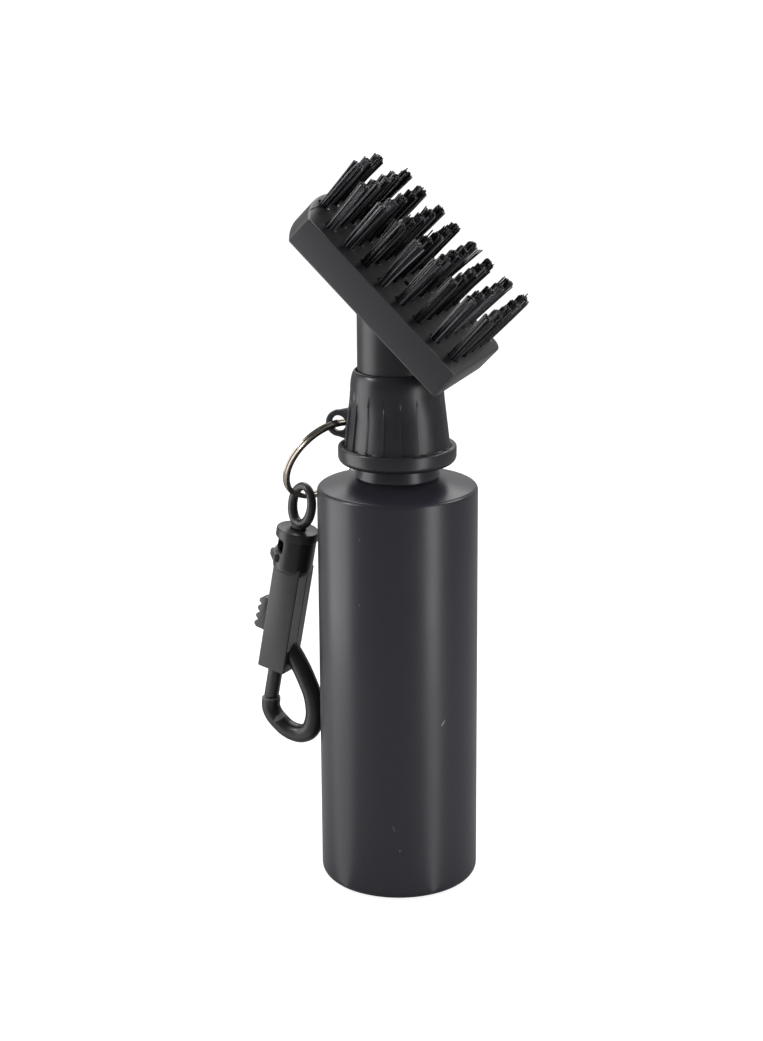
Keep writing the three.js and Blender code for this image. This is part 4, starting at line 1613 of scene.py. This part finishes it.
@dataclass
class Studio:
    """A white sweep with two cards, five soft boxes and the camera."""

    azimuth: float = math.radians(20.5)
    pitch: float = math.radians(16.01)
    roll: float = math.radians(-0.405)
    distance: float = 528.3
    height: float = 247.3
    side_shift: float = 4.09
    focal_mm: float = 75.1124
    daylight: float = 0.9
    mirrored_front: float = 0.12
    mirrored_back: float = 0.5
    paper_glow: float = 0.84
    paper_radius: float = 6000.0
    card_fade: float = 4.0
    card_reach: tuple[float, float] = (170.0, 200.0)
    aim_height: float = 95.0
    sensor_mm: float = 36.0
    # name, heading and elevation in degrees, reach and size in millimetres, power in watts
    soft_boxes: tuple[tuple[str, float, float, float, tuple[float, float], float], ...] = (
        ("left_box", -90.0, 0.0, 190.0, (142.0, 186.0), 0.23),
        ("right_box", 47.5, 0.0, 190.0, (54.0, 186.0), 0.135),
        ("key_box", -80.0, 34.0, 320.0, (64.0, 64.0), 0.26),
        ("rim_box", 98.0, 38.0, 420.0, (200.0, 140.0), 0.5),
        ("back_box", 180.0, 50.0, 520.0, (420.0, 420.0), 1.4),
    )

    def build(self) -> None:
        """Builds the camera, the lights, the world and the floor."""
        self._camera()
        self._world()
        self._floor()
        for name, heading, elevation, reach, size, power in self.soft_boxes:
            self._soft_box(name, heading, elevation, reach, size, power)

    def _axes(self) -> tuple[Vector, Vector]:
        """Gives the horizontal directions to the right of the camera and away from it."""
        right = Vector((math.cos(self.azimuth), math.sin(self.azimuth), 0.0))
        away = Vector((-math.sin(self.azimuth), math.cos(self.azimuth), 0.0))
        return right, away

    def _camera(self) -> None:
        """Places the camera and makes it the scene's own."""
        right, away = self._axes()
        place = (-right * self.side_shift - away * self.distance + UP * self.height) * MM
        forward = away * math.cos(self.pitch) - UP * math.sin(self.pitch)
        upward = away * math.sin(self.pitch) + UP * math.cos(self.pitch)
        sideways = right * math.cos(self.roll) + upward * math.sin(self.roll)
        upward = sideways.cross(forward)
        data = bpy.data.cameras.new("camera")
        data.sensor_width = self.sensor_mm
        data.lens = self.focal_mm
        camera = bpy.data.objects.new("camera", data)
        turn = Matrix((sideways, upward, -forward)).transposed().to_4x4()
        camera.matrix_world = Matrix.Translation(place) @ turn
        data.clip_start = 0.01
        bpy.context.scene.collection.objects.link(camera)
        bpy.context.scene.camera = camera

    def _world(self) -> None:
        """Makes the white surround, which reflections show dim, less so behind the object."""
        world = bpy.data.worlds.new("studio")
        world.use_nodes = True
        tree = world.node_tree
        tree.nodes.clear()
        away = self._axes()[1]
        direction = add(tree, "TexCoord").outputs["Generated"]
        facing = add(tree, "VectorMath", {"operation": "DOT_PRODUCT"}, {0: direction, 1: -away})
        shaded = add(
            tree,
            "MapRange",
            {"interpolation_type": "SMOOTHSTEP"},
            {
                "Value": facing.outputs["Value"],
                "From Min": -0.6,
                "From Max": -0.3,
                "To Min": self.mirrored_back,
                "To Max": self.mirrored_front,
            },
        )
        rays = add(tree, "LightPath")
        mirror = add(
            tree,
            "Math",
            {"operation": "MAXIMUM"},
            {0: rays.outputs["Is Glossy Ray"], 1: rays.outputs["Is Transmission Ray"]},
        )
        seen = add(
            tree,
            "Mix",
            {"data_type": "FLOAT"},
            {"Factor": mirror.outputs[0], 2: self.daylight, 3: shaded.outputs[0]},
        )
        strength = add(
            tree,
            "Mix",
            {"data_type": "FLOAT"},
            {"Factor": rays.outputs["Is Camera Ray"], 2: seen.outputs[0], 3: 1.0},
        )
        background = add(
            tree, "Background", inputs={"Color": (1.0, 1.0, 1.0, 1.0), "Strength": strength.outputs[0]}
        )
        add(tree, "OutputWorld", inputs={"Surface": background.outputs[0]})
        bpy.context.scene.world = world

    def _floor(self) -> None:
        """Makes the pale floor, which stays white where no shadow falls."""
        bm = bmesh.new()
        bmesh.ops.create_circle(bm, cap_ends=True, segments=96, radius=self.paper_radius)
        floor = loose_object("floor", bm)
        finish, tree = blank_material("white paper sweep")
        rays = add(tree, "LightPath")
        place = add(tree, "TexCoord").outputs["Object"]
        pulp = add(tree, "TexNoise", inputs={"Vector": place, "Scale": 1 / (4 * MM), "Detail": 3.0})
        tint = add(
            tree,
            "Mix",
            {"data_type": "RGBA"},
            {"Factor": pulp.outputs["Fac"], 6: linear("#8f8f8f"), 7: linear("#999999")},
        )
        left_card = self._card(tree, place, heading=-92.0, half=22.0, strength=0.85)
        right_card = self._card(tree, place, heading=52.0, half=10.0, strength=1.6)
        cards = add(tree, "Math", {"operation": "ADD"}, {0: left_card, 1: right_card})
        glow = add(
            tree,
            "Mix",
            {"data_type": "FLOAT"},
            {"Factor": rays.outputs["Is Camera Ray"], 2: cards.outputs[0], 3: self.paper_glow},
        )
        shader = add(
            tree,
            "BsdfPrincipled",
            inputs={
                "Base Color": tint.outputs[2],
                "Roughness": 0.9,
                "Specular IOR Level": 0.0,
                "Emission Color": (1.0, 1.0, 1.0, 1.0),
                "Emission Strength": glow.outputs[0],
            },
        )
        add(tree, "OutputMaterial", inputs={"Surface": shader.outputs[0]})
        floor.data.materials.append(finish)

    def _card(
        self, tree: NodeTree, place: NodeSocket, heading: float, half: float, strength: float
    ) -> NodeSocket:
        """Lights a sector of the floor like a card laid under a soft box.

        Args:
            tree: the floor's node tree.
            place: the floor's object coordinates.
            heading: degrees to the right of the camera's side.
            half: half of the sector's angle in degrees.
            strength: how bright the card is.

        Returns:
            The card's brightness at each place.
        """
        right, away = self._axes()
        around = math.radians(heading)
        flat = right * math.sin(around) - away * math.cos(around)
        wall = right * math.sin(around / 2) - away * math.cos(around / 2)
        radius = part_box("bottle")[1].y
        bounced = add(
            tree, "VectorMath", {"operation": "SUBTRACT"}, {0: place, 1: wall * radius}
        ).outputs[0]
        outwards = add(tree, "VectorMath", {"operation": "NORMALIZE"}, {0: bounced})
        along = add(tree, "VectorMath", {"operation": "DOT_PRODUCT"}, {0: outwards.outputs[0], 1: flat})
        sector = add(
            tree,
            "MapRange",
            {"interpolation_type": "SMOOTHSTEP"},
            {
                "Value": along.outputs["Value"],
                "From Min": math.cos(math.radians(half + self.card_fade)),
                "From Max": math.cos(math.radians(half - self.card_fade)),
                "To Min": 0.0,
                "To Max": strength,
            },
        )
        reach = add(tree, "VectorMath", {"operation": "LENGTH"}, {0: place})
        near = add(
            tree,
            "MapRange",
            {"interpolation_type": "SMOOTHSTEP"},
            {
                "Value": reach.outputs["Value"],
                "From Min": self.card_reach[0] * MM,
                "From Max": self.card_reach[1] * MM,
                "To Min": 1.0,
                "To Max": 0.0,
            },
        )
        lit = add(tree, "Math", {"operation": "MULTIPLY"}, {0: sector.outputs[0], 1: near.outputs[0]})
        return lit.outputs[0]

    def _soft_box(
        self,
        name: str,
        heading: float,
        elevation: float,
        reach: float,
        size: tuple[float, float],
        power: float,
    ) -> None:
        """Hangs one soft box that faces the middle of the object.

        Args:
            name: the lamp's name.
            heading: degrees to the right of the camera's side.
            elevation: degrees above the horizon.
            reach: distance from the object in millimetres.
            size: width and height in millimetres.
            power: the lamp's power in watts.
        """
        right, away = self._axes()
        around, rise = math.radians(heading), math.radians(elevation)
        flat = -away * math.cos(around) + right * math.sin(around)
        target = UP * self.aim_height
        place = target + (flat * math.cos(rise) + UP * math.sin(rise)) * reach
        data = bpy.data.lights.new(name, "AREA")
        data.shape = "RECTANGLE"
        data.size = size[0] * MM
        data.size_y = size[1] * MM
        data.energy = power
        lamp = bpy.data.objects.new(name, data)
        lamp.location = place * MM
        lamp.rotation_euler = (target - place).to_track_quat("-Z", "Y").to_euler()
        bpy.context.scene.collection.objects.link(lamp)


# ------------------------------------------------------------------ the whole object


def main() -> None:
    """Builds the dressed object."""
    logging.basicConfig(level=logging.INFO, format="%(name)s %(message)s")
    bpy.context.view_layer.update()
    bpy.context.scene.view_settings.view_transform = "Standard"
    Studio().build()
    Bottle().build()
    CapCollar().build()
    BrushHead().build()
    Lanyard().build()
    SnapClip().build()
    Valve().build()


if __name__ == "__main__":
    main()
